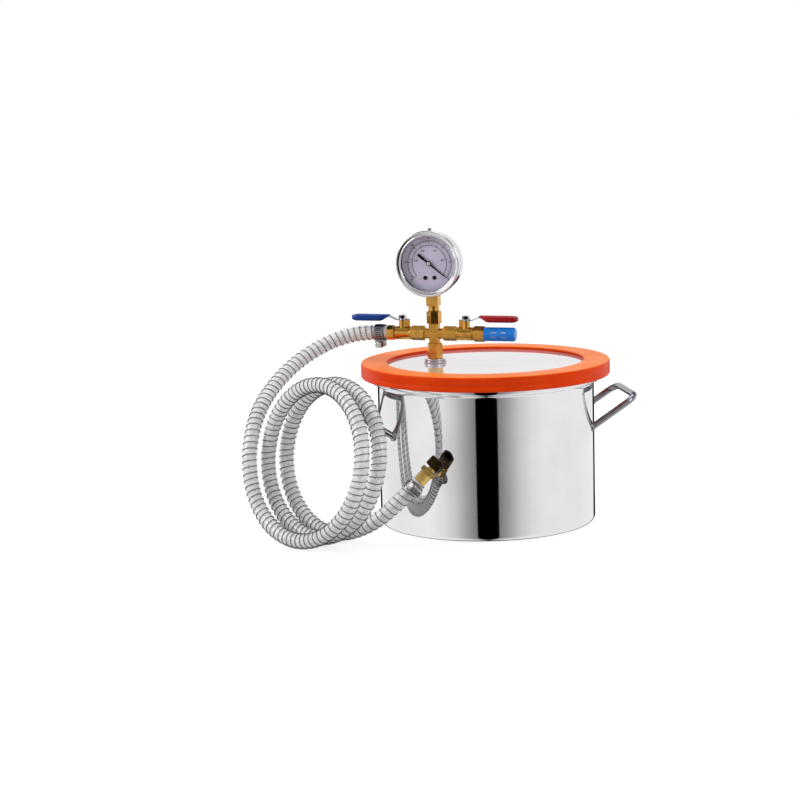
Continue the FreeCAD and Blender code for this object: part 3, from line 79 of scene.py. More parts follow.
def linear(code: str) -> Colour:
    """Turn an sRGB hex colour to a linear one.

    Args:
        code: Six hex digits after a hash sign.

    Returns:
        Linear red, green and blue, and an alpha of 1.
    """
    values = [int(code[place:place + 2], 16) / 255 for place in (1, 3, 5)]
    red, green, blue = (v / 12.92 if v <= 0.04045 else ((v + 0.055) / 1.055) ** 2.4 for v in values)
    return red, green, blue, 1.0


def set_inputs(tree: bpy.types.NodeTree, node: bpy.types.Node, inputs: dict[Any, Any]) -> None:
    """Link a node's sockets to outputs, or give them constants.

    Args:
        tree: Node tree that holds the node.
        node: Node whose own sockets are set.
        inputs: Sockets by name or number, each with an output to link or a constant.
    """
    for name, value in inputs.items():
        if isinstance(value, bpy.types.NodeSocket):
            tree.links.new(value, node.inputs[name])
        else:
            node.inputs[name].default_value = value


def add_node(tree: bpy.types.NodeTree, kind: str, inputs: dict[Any, Any] | None = None,
             **settings: Any) -> bpy.types.Node:
    """Add a node with its settings, its constants and its links.

    Args:
        tree: Node tree that takes the node.
        kind: Blender's name of the node's type, without ShaderNode.
        inputs: Sockets by name or number, each with an output to link or a constant.
        settings: Properties of the node.

    Returns:
        The new node.
    """
    node = tree.nodes.new("ShaderNode" + kind)
    for name, value in settings.items():
        setattr(node, name, value)
    set_inputs(tree, node, inputs or {})
    return node


def set_ramp(node: bpy.types.Node, stops: Stops) -> None:
    """Give a colour ramp its stops.

    Args:
        node: Colour ramp node.
        stops: Pairs of a place from 0 to 1 and a grey value or a hex colour.
    """
    ramp = node.color_ramp
    while len(ramp.elements) < len(stops):
        ramp.elements.new(0.5)
    for element, (place, value) in zip(ramp.elements, stops):
        element.position = place
        element.color = linear(value) if isinstance(value, str) else grey(value)


class Grain(Enum):
    """How a surface was made, which gives its fine relief."""

    PLAIN = "plain"
    MOULDED = "moulded"
    CAST = "cast"
    TURNED = "turned"
    POLISHED = "polished"


# How many times longer than wide the marks of a lathe tool and of a polishing wheel are.
MARK_LENGTHS = {Grain.TURNED: 30, Grain.POLISHED: 60}
# Noise over which a surface goes from its colour to its tint, and from its glossy to its dull patches.
TINT_RANGE = (0.3, 0.75)
GLOSS_RANGE = (0.3, 0.7)
# Roughness of the glossiest and of the dullest patches, as shares of the mean.
GLOSS_SHARES = (0.85, 1.2)
# Upward part of a face's normal at which the painted top light starts and at which it is full.
TOP_LIGHT_RANGE = (0.45, 0.95)
# How far red, green and blue light spread inside a plastic: shares of a depth, and that depth.
SPREAD = (1.0, 0.35, 0.15)
SPREAD_MM = 3.0
# Roughness of the clear coat on a plastic.
COAT_ROUGHNESS = 0.05


@dataclass(frozen=True)
class Surface:
    """A real material.

    Attributes:
        name: Common name of the material.
    """

    name: str

    def connect(self, tree: bpy.types.NodeTree, shader: bpy.types.Node) -> None:
        """Give the material's shader its colour, gloss and relief."""
        raise NotImplementedError

    def material(self) -> bpy.types.Material:
        """Material of this surface, made once and then shared."""
        found = bpy.data.materials.get(self.name)
        if found:
            return found
        made = bpy.data.materials.new(self.name)
        made.use_nodes = True
        self.connect(made.node_tree, made.node_tree.nodes["Principled BSDF"])
        return made


@dataclass(frozen=True)
class Finish(Surface):
    """A real material and how its surface was made.

    Attributes:
        colour: Main sRGB colour.
        tint: Second colour, which the first wanders to.
        roughness: Mean roughness.
        metallic: 1 for a metal.
        ior: Index of refraction, kept at the default on a metal.
        grain: Kind of fine relief.
        grain_mm: Distance from one mark or grain of the relief to the next.
        relief_mm: Depth of the relief.
        patch_mm: Size of the patches of colour and gloss.
        edge_mm: Radius that catches the light along edges.
        coat: Weight of a clear coat.
        subsurface: Weight of the light that spreads inside.
        specular: Strength of the gloss, 0.5 for what the index gives.
        painted_top_light: Paler colour of the faces that look up, painted light for the brighter light and
            reflection on top, or nothing.
    """

    colour: str
    tint: str
    roughness: float
    metallic: float = 0.0
    ior: float = 1.5
    grain: Grain = Grain.PLAIN
    grain_mm: float = 0.5
    relief_mm: float = 0.01
    patch_mm: float = 12.0
    edge_mm: float = 0.0
    coat: float = 0.0
    subsurface: float = 0.0
    specular: float = 0.5
    painted_top_light: str = ""

    def relief(self, tree: bpy.types.NodeTree) -> bpy.types.Node:
        """Bump node of the grain, whose marks run round the piece where a tool turned it."""
        length = MARK_LENGTHS.get(self.grain, 1)
        place = add_node(tree, "TexCoord").outputs["Object"]
        marks = add_node(tree, "Mapping", {"Vector": place, "Scale": (1, 1, length)}).outputs["Vector"]
        noise = add_node(tree, "TexNoise", {
            "Vector": marks, "Scale": 1 / (self.grain_mm * MM * length), "Detail": 3.0, "Roughness": 0.6})
        return add_node(tree, "Bump", {
            "Height": noise.outputs["Fac"], "Distance": self.relief_mm * MM, "Strength": 1.0})

    def normal(self, tree: bpy.types.NodeTree) -> bpy.types.NodeSocket | None:
        """Normal with rounded edges and the grain's relief."""
        edge = None
        if self.edge_mm:
            edge = add_node(tree, "Bevel", {"Radius": self.edge_mm * MM}, samples=4).outputs[0]
        if self.grain is Grain.PLAIN:
            return edge
        bump = self.relief(tree)
        if edge:
            set_inputs(tree, bump, {"Normal": edge})
        return bump.outputs["Normal"]

    def painted_top_lit(self, tree: bpy.types.NodeTree, colour: bpy.types.NodeSocket) -> bpy.types.NodeSocket:
        """Mix the painted top light, a paler colour, over a colour where a face looks up."""
        # Painted light: faces that look up are mixed to a paler colour.
        facing = add_node(tree, "NewGeometry").outputs["Normal"]
        upward = add_node(tree, "SeparateXYZ", {"Vector": facing}).outputs["Z"]
        top_lit_share = add_node(tree, "MapRange", {
            "Value": upward, "From Min": TOP_LIGHT_RANGE[0], "From Max": TOP_LIGHT_RANGE[1]})
        mixed = add_node(tree, "MixRGB", {
            "Fac": top_lit_share.outputs["Result"], "Color1": colour, "Color2": linear(self.painted_top_light)})
        return mixed.outputs["Color"]

    def connect(self, tree: bpy.types.NodeTree, shader: bpy.types.Node) -> None:
        """Give the shader its patches of colour and gloss, its relief and its depth."""
        place = add_node(tree, "TexCoord").outputs["Object"]
        patches = add_node(tree, "TexNoise", {
            "Vector": place, "Scale": 1 / (self.patch_mm * MM), "Detail": 4.0}).outputs["Fac"]
        ramp = add_node(tree, "ValToRGB", {"Fac": patches})
        set_ramp(ramp, list(zip(TINT_RANGE, (self.colour, self.tint))))
        colour = ramp.outputs["Color"]
        gloss = add_node(tree, "MapRange", {
            "Value": patches, "From Min": GLOSS_RANGE[0], "From Max": GLOSS_RANGE[1],
            "To Min": self.roughness * GLOSS_SHARES[0], "To Max": self.roughness * GLOSS_SHARES[1]})
        set_inputs(tree, shader, {
            "Base Color": self.painted_top_lit(tree, colour) if self.painted_top_light else colour,
            "Roughness": gloss.outputs["Result"], "Metallic": self.metallic, "IOR": self.ior,
            "Coat Weight": self.coat, "Coat Roughness": COAT_ROUGHNESS,
            "Specular IOR Level": self.specular})
        if self.subsurface:
            set_inputs(tree, shader, {
                "Subsurface Weight": self.subsurface, "Subsurface Radius": SPREAD,
                "Subsurface Scale": SPREAD_MM * MM})
        normal = self.normal(tree)
        if normal:
            set_inputs(tree, shader, {"Normal": normal})


# Real tool marks and grain are finer than given below, and are drawn this coarse so that they show.
# Polished stainless sheet mirrors the room, with faint lines round the pot from the polishing wheel.
POLISHED_STEEL = Finish("polished_stainless", "#E9E9EA", "#DEDEE0", 0.045, 1.0, grain=Grain.POLISHED,
                        grain_mm=0.45, relief_mm=0.0012, patch_mm=60.0)
# Drawn stainless rod blurs what it mirrors; it is drawn a darker grey than the sheet as painted shade, for
# the dark surroundings that the handles mirror.
ROD_STEEL = Finish("drawn_stainless_rod", "#98989C", "#838388", 0.16, 1.0, patch_mm=9.0)
# Weld beads are duller and a little straw coloured from the heat.
WELD_STEEL = Finish("welded_stainless", "#A9A49C", "#8C8880", 0.38, 1.0, grain=Grain.CAST, grain_mm=0.8,
                    relief_mm=0.15, patch_mm=2.0)
# Moulded silicone rubber is satin, and painted paler on top: painted light for the brighter light and
# reflection that its top catches.
ORANGE_SILICONE = Finish("orange_silicone", "#E84102", "#E03A02", 0.36, ior=1.43, grain=Grain.MOULDED,
                         grain_mm=0.35, relief_mm=0.005, patch_mm=25.0, specular=0.1, painted_top_light="#F67C28")
# Pressed washers have a bright, slightly scuffed face.
WASHER_STEEL = Finish("pressed_steel_washer", "#D7CFD2", "#BDB4B8", 0.2, 1.0, grain=Grain.TURNED,
                      grain_mm=0.3, relief_mm=0.01, patch_mm=4.0, edge_mm=0.25)
# Turned brass bar is bright, with fine tool marks and softly broken edges.
TURNED_BRASS = Finish("turned_brass", "#E2AE54", "#C48D3E", 0.2, 1.0, grain=Grain.TURNED,
                      grain_mm=0.4, relief_mm=0.003, patch_mm=7.0, edge_mm=0.45)
# Forged brass has the fine sandy skin of its die.
FORGED_BRASS = Finish("forged_brass", "#D8A24A", "#BE8738", 0.22, 1.0, grain=Grain.CAST,
                      grain_mm=0.35, relief_mm=0.008, patch_mm=8.0, edge_mm=0.9)
# Phosphor bronze is redder than brass.
BRONZE = Finish("phosphor_bronze", "#B9824A", "#A06C3A", 0.3, 1.0, patch_mm=8.0)
# Zinc plated clamp steel is a cool grey that scatters.
CLAMP_STEEL = Finish("zinc_plated_steel", "#A6A2A5", "#6E6A6D", 0.26, 1.0, grain=Grain.TURNED,
                     grain_mm=0.3, relief_mm=0.006, patch_mm=3.0, edge_mm=0.25)
# Nickel plate is smooth and bright.
PLATED_STEEL = Finish("nickel_plated_steel", "#DCDADB", "#C8C5C6", 0.12, 1.0, patch_mm=5.0, edge_mm=0.3)
# The flare nut is drawn as a dark brown brass.
DARK_NUT = Finish("dark_brass_nut", "#4A3B26", "#241C12", 0.28, 1.0, grain=Grain.CAST,
                  grain_mm=0.5, relief_mm=0.02, patch_mm=4.0, edge_mm=0.5)
# Bar of a yellower brass, bright between its tool marks.
END_BRASS = Finish("yellow_brass_bar", "#D2B066", "#B4944E", 0.2, 1.0, grain=Grain.TURNED,
                   grain_mm=0.4, relief_mm=0.005, patch_mm=4.0, edge_mm=0.4)
# Stamped and plated lever strip.
LEVER_STEEL = Finish("plated_lever_strip", "#AEB4BD", "#8F959E", 0.22, 1.0, patch_mm=5.0, edge_mm=0.3)
# Dipped vinyl is even and softly glossy, with a rubbery skin.
BLUE_VINYL = Finish("blue_dipped_vinyl", "#053E98", "#04327F", 0.3, ior=1.53, grain=Grain.MOULDED,
                    grain_mm=0.6, relief_mm=0.008, patch_mm=9.0, coat=0.04, specular=0.22)
RED_VINYL = Finish("red_dipped_vinyl", "#A70410", "#8E030C", 0.3, ior=1.53, grain=Grain.MOULDED,
                   grain_mm=0.6, relief_mm=0.008, patch_mm=9.0, coat=0.04, specular=0.22)
# Moulded nylon cap, glossy, with a little light inside.
BLUE_NYLON = Finish("blue_moulded_nylon", "#0C86EA", "#0A79DA", 0.2, ior=1.53, patch_mm=8.0,
                    edge_mm=0.35, coat=0.1, subsurface=0.1, specular=0.35)
# Sintered filter tube is pale and sandy, and scatters all light.
FILTER_TUBE = Finish("sintered_filter", "#F6FDFF", "#E2F5FD", 0.8, grain=Grain.CAST, grain_mm=0.6,
                     relief_mm=0.12, patch_mm=2.0)
# Spring wire inside the hose's wall shows as a dark grey line.
HOSE_WIRE = Finish("hose_spring_wire", "#45474C", "#34363A", 0.35, 1.0, patch_mm=5.0)
# The gauge's stainless is polished like a mirror.
GAUGE_STEEL = Finish("gauge_stainless", "#E2E2E4", "#D3D3D6", 0.07, 1.0, patch_mm=20.0)
# Baked enamel of the dial is an even, pale violet with little gloss.
DIAL_ENAMEL = Finish("dial_enamel", "#D3CDE4", "#CCC6DE", 0.45, grain=Grain.MOULDED, grain_mm=0.25,
                     relief_mm=0.004, patch_mm=20.0, specular=0.3)
# The dial's print is a flat violet black.
DIAL_INK = Finish("dial_ink", "#1E1A30", "#151124", 0.5, patch_mm=2.0, specular=0.2)
# Blued screws are nearly black. The slots through a band are drawn as nearly black marks, painted shade
# for the hollow of each slot.
BLUED_STEEL = Finish("blued_steel", "#2C2A30", "#1C1B20", 0.25, 1.0, patch_mm=2.0, edge_mm=0.2)
SLOT_SHADE = Finish("painted_slot_shade", "#1A1718", "#241F20", 0.7, patch_mm=2.0)
# The pointer is sprayed black, with a dull gloss.
BLACK_PAINT = Finish("black_pointer_paint", "#060607", "#0D0D0E", 0.4, patch_mm=3.0, specular=0.15)
# Moulded rubber is dull and faintly pebbled.
BLACK_RUBBER = Finish("black_rubber", "#141414", "#1D1D1D", 0.6, grain=Grain.MOULDED, grain_mm=0.4,
                      relief_mm=0.01, patch_mm=4.0)
GREY_RUBBER = Finish("grey_rubber", "#8E8B90", "#7C7A7F", 0.5, grain=Grain.MOULDED, grain_mm=0.4,
                     relief_mm=0.01, patch_mm=4.0)
# Fluoropolymer seats and packings are white and waxy.
FLUOROPOLYMER = Finish("white_fluoropolymer", "#EFEFEA", "#E5E5DF", 0.4, patch_mm=4.0)


# Facing weights between which a clear skin goes from its face colour to the painted light along its
# outline.
SKIN_RANGE = (0.45, 0.95)
# Noise between which a skin's ripples go from clear to speckled.
SPECK_RANGE = (0.4, 0.62)
# Roughness and index of the mirror on a clear sheet, which is stronger than one face alone gives.
MIRROR_ROUGHNESS = 0.01
MIRROR_INDEX = 1.8


@dataclass(frozen=True)
class ClearSkin(Surface):
    """A clear material whose surface hides more the flatter it is looked at, and whose colour along its
    outline is painted light: the reflection and shade of a wall seen edge on.

    Attributes:
        face: Colour where it is seen face on.
        painted_outline: Colour along its outline, painted reflection and shade.
        centre: Opacity where it is seen face on.
        rim: Opacity where it is seen edge on.
        weights: Facing weights between which the opacity rises.
        roughness: Roughness of its surface.
        ior: Index of refraction.
        ripple_mm: Size of the ripples in its surface, or 0 for none.
        relief_mm: Depth of the ripples.
        speckle: How much darker its specks are.
        coat: Weight of the polished surface's own mirror.
    """

    face: str
    painted_outline: str
    centre: float
    rim: float
    weights: Pair = (0.35, 0.97)
    roughness: float = 0.12
    ior: float = 1.45
    ripple_mm: float = 0.0
    relief_mm: float = 0.0
    speckle: float = 0.0
    coat: float = 0.0

    def rippled(self, tree: bpy.types.NodeTree, shader: bpy.types.Node,
                colour: bpy.types.NodeSocket) -> bpy.types.NodeSocket:
        """Give the shader the ripples' relief, and darken their specks in a colour."""
        place = add_node(tree, "TexCoord").outputs["Object"]
        noise = add_node(tree, "TexNoise", {
            "Vector": place, "Scale": 1 / (self.ripple_mm * MM), "Detail": 3.0}).outputs["Fac"]
        bump = add_node(tree, "Bump", {"Height": noise, "Distance": self.relief_mm * MM, "Strength": 1.0})
        set_inputs(tree, shader, {"Normal": bump.outputs["Normal"]})
        specks = add_node(tree, "MapRange", {
            "Value": noise, "From Min": SPECK_RANGE[0], "From Max": SPECK_RANGE[1],
            "To Min": 1.0, "To Max": 1.0 - self.speckle})
        mixed = add_node(tree, "MixRGB", {
            "Fac": 1.0, "Color1": colour, "Color2": specks.outputs["Result"]}, blend_type="MULTIPLY")
        return mixed.outputs["Color"]

    def connect(self, tree: bpy.types.NodeTree, shader: bpy.types.Node) -> None:
        """Give the shader a colour and an opacity that follow how flat the surface is seen."""
        weight = add_node(tree, "LayerWeight", {"Blend": 0.5}).outputs["Facing"]
        # Painted light: towards the outline the colour goes to the painted reflection and shade.
        ramp = add_node(tree, "ValToRGB", {"Fac": weight})
        set_ramp(ramp, list(zip(SKIN_RANGE, (self.face, self.painted_outline))))
        colour = ramp.outputs["Color"]
        alpha = add_node(tree, "MapRange", {
            "Value": weight, "From Min": self.weights[0], "From Max": self.weights[1],
            "To Min": self.centre, "To Max": self.rim}, interpolation_type="SMOOTHSTEP")
        set_inputs(tree, shader, {
            "Base Color": self.rippled(tree, shader, colour) if self.ripple_mm else colour,
            "Alpha": alpha.outputs["Result"], "Roughness": self.roughness, "IOR": self.ior,
            "Coat Weight": self.coat, "Coat Roughness": MIRROR_ROUGHNESS, "Coat IOR": MIRROR_INDEX})


# Cast acrylic sheet is clear from above, and mirroring where it is looked along; its pale colour there is
# painted reflection.
CAST_ACRYLIC = ClearSkin("cast_acrylic", "#F4F0F6", "#BCAEB8", 0.08, 0.95, (0.1, 0.88), 0.02, 1.49,
                         coat=1.0)
# The gauge's window is flat glass that hardly shows face on; its pale colour near edge on is painted
# reflection.
GAUGE_GLASS = ClearSkin("gauge_window_glass", "#9A9AA0", "#F0F2F6", 0.0, 0.5, (0.5, 1.0), 0.01, 1.5)
# Soft vinyl of the hose: a clear outer wall whose dark outlines are painted shade, and a cloudy bore
# behind the wire, whose grey outlines are painted shade as well.
CLEAR_VINYL = ClearSkin("clear_vinyl", "#FFFFFF", "#4A4F52", 0.12, 0.78, (0.72, 1.0), 0.16, 1.5,
                        ripple_mm=5.0, relief_mm=0.15)
CLOUDY_VINYL = ClearSkin("cloudy_vinyl", "#FFFFFF", "#DCE0E2", 0.72, 0.9, (0.3, 0.97), 0.14, 1.5,
                         ripple_mm=1.6, relief_mm=0.22, speckle=0.25)


def placed(name: str, data: bpy.types.ID) -> bpy.types.Object:
    """Put an object with this mesh, curve, lamp or camera into the scene."""
    piece = bpy.data.objects.new(name, data)
    bpy.context.scene.collection.objects.link(piece)
    return piece


def finish_mesh(name: str, mesh: bmesh.types.BMesh, place: Matrix, finish: Surface,
                smooth_deg: float = 40.0) -> bpy.types.Object:
    """Turn a shape in millimetres into an object in metres, with its place in its mesh.

    Args:
        name: Name of the piece.
        mesh: Shape in its own frame, which is freed here.
        place: Where that frame lies in the part's frame, in metres.
        finish: Finish or skin of the whole piece.
        smooth_deg: Faces that meet at less than this are shaded smooth.

    Returns:
        The new object at the origin.
    """
    bmesh.ops.remove_doubles(mesh, verts=mesh.verts, dist=MERGED)
    bmesh.ops.recalc_face_normals(mesh, faces=mesh.faces)
    bmesh.ops.transform(mesh, matrix=place @ Matrix.Scale(MM, 4), verts=mesh.verts)
    data = bpy.data.meshes.new(name)
    mesh.to_mesh(data)
    mesh.free()
    data.shade_smooth()
    data.set_sharp_from_angle(angle=math.radians(smooth_deg))
    data.materials.append(finish.material())
    return placed(name, data)


def spun(outline: list[Pair], steps: int) -> bmesh.types.BMesh:
    """Turn a closed section round Z.

    Args:
        outline: Points of the section as radius and height, in millimetres.
        steps: Segments of the full turn.

    Returns:
        The turned shape.
    """
    mesh = bmesh.new()
    points = [mesh.verts.new((radius, 0, height)) for radius, height in outline]
    edges = [mesh.edges.new(pair) for pair in [*zip(points, points[1:]), (points[-1], points[0])]]
    bmesh.ops.spin(mesh, geom=points + edges, cent=(0, 0, 0), axis=(0, 0, 1), angle=FULL_TURN,
                   steps=steps, use_merge=True, use_duplicate=False)
    return mesh


def arc(centre: Pair, radius: float, start: float, end: float, steps: int) -> list[Pair]:
    """Points of an arc in a section, both ends included.

    Args:
        centre: Radius and height of the arc's centre.
        radius: Radius of the arc.
        start: First angle in degrees.
        end: Last angle in degrees.
        steps: Segments of the arc.

    Returns:
        Points as radius and height.
    """
    angles = [math.radians(start + (end - start) * step / steps) for step in range(steps + 1)]
    return [(centre[0] + radius * math.cos(a), centre[1] + radius * math.sin(a)) for a in angles]


def mesh_of(line: bpy.types.Curve) -> bpy.types.Mesh:
    """Turn a curve or a word into a mesh of the same name, and remove the curve."""
    holder = bpy.data.objects.new(line.name, line)
    data = bpy.data.meshes.new_from_object(holder)
    data.name = line.name
    bpy.data.objects.remove(holder)
    bpy.data.curves.remove(line)
    return data


def round_line(name: str, kind: str, points: list[Vector], radius: float, rings: int) -> bpy.types.Curve:
    """Curve with a round section along a list of points, in metres.

    Args:
        name: Name of the curve.
        kind: "POLY" for a line through the points, or "NURBS" for a smooth one beside them.
        points: Points of the line.
        radius: Radius of its section, or 0 for a bare line.
        rings: Bevel resolution of the section.

    Returns:
        The curve, whose only spline holds the points.
    """
    line = bpy.data.curves.new(name, "CURVE")
    line.dimensions = "3D"
    line.bevel_depth = radius
    line.bevel_resolution = rings
    spline = line.splines.new(kind)
    spline.points.add(len(points) - 1)
    for target, point in zip(spline.points, points):
        target.co = (*point, 1)
    return line


def swept(name: str, points: list[Vector], radius: float, rings: int,
          finish: Surface) -> bpy.types.Object:
    """Round bar with flat ends along a list of points, in metres, as a mesh.

    Args:
        name: Name of the piece.
        points: Points of the bar's middle.
        radius: Radius of the bar.
        rings: Bevel resolution of its section.
        finish: Finish or skin of the bar.

    Returns:
        The new object.
    """
    line = round_line(name, "POLY", points, radius, rings)
    line.use_fill_caps = True
    data = mesh_of(line)
    data.shade_smooth()
    data.materials.append(finish.material())
    return placed(name, data)


def hexagonal(flats: float, length: float, base: float = 0.0, turn_deg: float = 0.0) -> bmesh.types.BMesh:
    """Hexagonal bar along Z whose corners are turned off at both ends.

    Args:
        flats: Width across the flats.
        length: Length of the bar.
        base: Height of its lower end.
        turn_deg: Angle of its first corner.

    Returns:
        The bar's shape.
    """
    mesh = bmesh.new()
    corner = flats / math.sqrt(3)
    slope = math.tan(math.radians(30))
    bmesh.ops.create_cone(mesh, cap_ends=True, segments=96, radius1=corner, radius2=corner, depth=length)
    drop = (corner - flats / 2) * slope
    # The bar is cut at four heights near each end, so that the edges of its flats can curve.
    for share in (0.25, 0.5, 0.75, 1.0):
        for height in (length / 2 - drop * share, drop * share - length / 2):
            geometry = mesh.verts[:] + mesh.edges[:] + mesh.faces[:]
            bmesh.ops.bisect_plane(mesh, geom=geometry, plane_co=(0, 0, height), plane_no=(0, 0, 1))
    # Each corner moves in to its flat, and towards the ends to the cone that the lathe leaves.
    for vertex in mesh.verts:
        angle = math.degrees(math.atan2(vertex.co.y, vertex.co.x))
        side = math.radians((angle - turn_deg) % 60 - 30)
        cone = flats / 2 + (length / 2 - abs(vertex.co.z)) / slope
        radius = min(flats / 2 / math.cos(side), cone)
        vertex.co.xy = vertex.co.xy.normalized() * radius
    bmesh.ops.translate(mesh, verts=mesh.verts, vec=(0, 0, base + length / 2))
    return mesh


def joined(*meshes: bmesh.types.BMesh) -> bmesh.types.BMesh:
    """Put several shapes in one, and free them.

    Args:
        meshes: Shapes in one frame.

    Returns:
        The shape that holds them all.
    """
    whole = bmesh.new()
    for mesh in meshes:
        data = bpy.data.meshes.new("joined")
        mesh.to_mesh(data)
        mesh.free()
        whole.from_mesh(data)
        bpy.data.meshes.remove(data)
    return whole


def block(size: Triple, centre: Point, turn_deg: float = 0.0) -> bmesh.types.BMesh:
    """Box that is turned about Z through the origin after it is placed.

    Args:
        size: Lengths of its sides.
        centre: Its centre.
        turn_deg: Its turn about Z.

    Returns:
        The box's shape.
    """
    mesh = bmesh.new()
    turn = Matrix.Rotation(math.radians(turn_deg), 4, "Z")
    place = turn @ Matrix.Translation(centre) @ Matrix.Diagonal((*size, 1.0))
    bmesh.ops.create_cube(mesh, size=1.0, matrix=place)
    return mesh


def lofted(stations: list[Station], power: float, sides: int) -> bmesh.types.BMesh:
    """Soft rounded bar along X through sections like boxes with round corners.

    Args:
        stations: Place along X, half width, lower and upper height of each section.
        power: How square the sections are: 2 is round.
        sides: Points of a section.

    Returns:
        The closed bar.
    """
    mesh = bmesh.new()
    rings = []
    for along, half, low, high in stations:
        ring = bmesh.ops.create_circle(mesh, segments=sides, radius=1.0)["verts"]
        for vertex in ring:
            # The circle's points move out to a box with round corners.
            across, up = vertex.co.x, vertex.co.y
            size = (abs(across) ** power + abs(up) ** power) ** (1 / power)
            vertex.co = (along, half * across / size, (low + high) / 2 + (high - low) / 2 * up / size)
        rings.append([edge for edge in mesh.edges if edge.verts[0] in ring and edge.verts[1] in ring])
    for first, second in zip(rings, rings[1:]):
        bmesh.ops.bridge_loops(mesh, edges=first + second)
    for ring in (rings[0], rings[-1]):
        bmesh.ops.contextual_create(mesh, geom=ring)
    return mesh


def printed(words: str, size: float, centre: Point, thickness: float) -> bmesh.types.BMesh:
    """Number as a thin plate in the XY plane.

    Args:
        words: The number.
        size: Height of its letters in millimetres.
        centre: Where its middle lies.
        thickness: Thickness of the plate.

    Returns:
        The number's shape.
    """
    line = bpy.data.curves.new("number", "FONT")
    line.body = words
    line.size = size
    line.extrude = thickness / 2
    # The letters are fattened a little, as print is.
    line.offset = size * 0.02
    line.align_x = "CENTER"
    line.align_y = "CENTER"
    data = mesh_of(line)
    mesh = bmesh.new()
    mesh.from_mesh(data)
    bpy.data.meshes.remove(data)
    bmesh.ops.translate(mesh, verts=mesh.verts, vec=centre)
    return mesh


def dress(finishes: dict[str, Surface]) -> None:
    """Give CAD nodes their finishes.

    Args:
        finishes: Finish or skin of each node.
    """
    for node, finish in finishes.items():
        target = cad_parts[node]
        target.data.materials.clear()
        target.data.materials.append(finish.material())
        LOG.info("%s is of %s", node, finish.name)


def settle(piece: bpy.types.Object, body: str, slot: str, *replaced: str) -> bpy.types.Object:
    """Let a new piece ride on a body and stand for CAD nodes.

    Args:
        piece: The new piece.
        body: Body that carries it.
        slot: Material slot meant for it; not used.
        replaced: CAD nodes that it replaces.

    Returns:
        The same piece.
    """
    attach(piece, body)
    if replaced:
        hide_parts(*replaced)
    LOG.info("%s rides on %s", piece.name, body)
    return piece


@dataclass(frozen=True)
class Softbox:
    """Large soft lamp.

    Attributes:
        name: Name of the lamp.
        place: Its centre, in metres.
        size: Side of its square face, in metres.
        watts: Its power.
    """

    name: str
    place: Point
    size: float
    watts: float

    def hang(self, target: Point) -> None:
        """Hang the lamp out of the camera's sight, facing a target in metres."""
        data = bpy.data.lights.new(self.name, "AREA")
        data.size = self.size
        data.energy = self.watts
        lamp = placed(self.name, data)
        lamp.location = self.place
        aim = Vector(target) - Vector(self.place)
        lamp.rotation_euler = aim.to_track_quat("-Z", "Y").to_euler()
        lamp.visible_camera = False


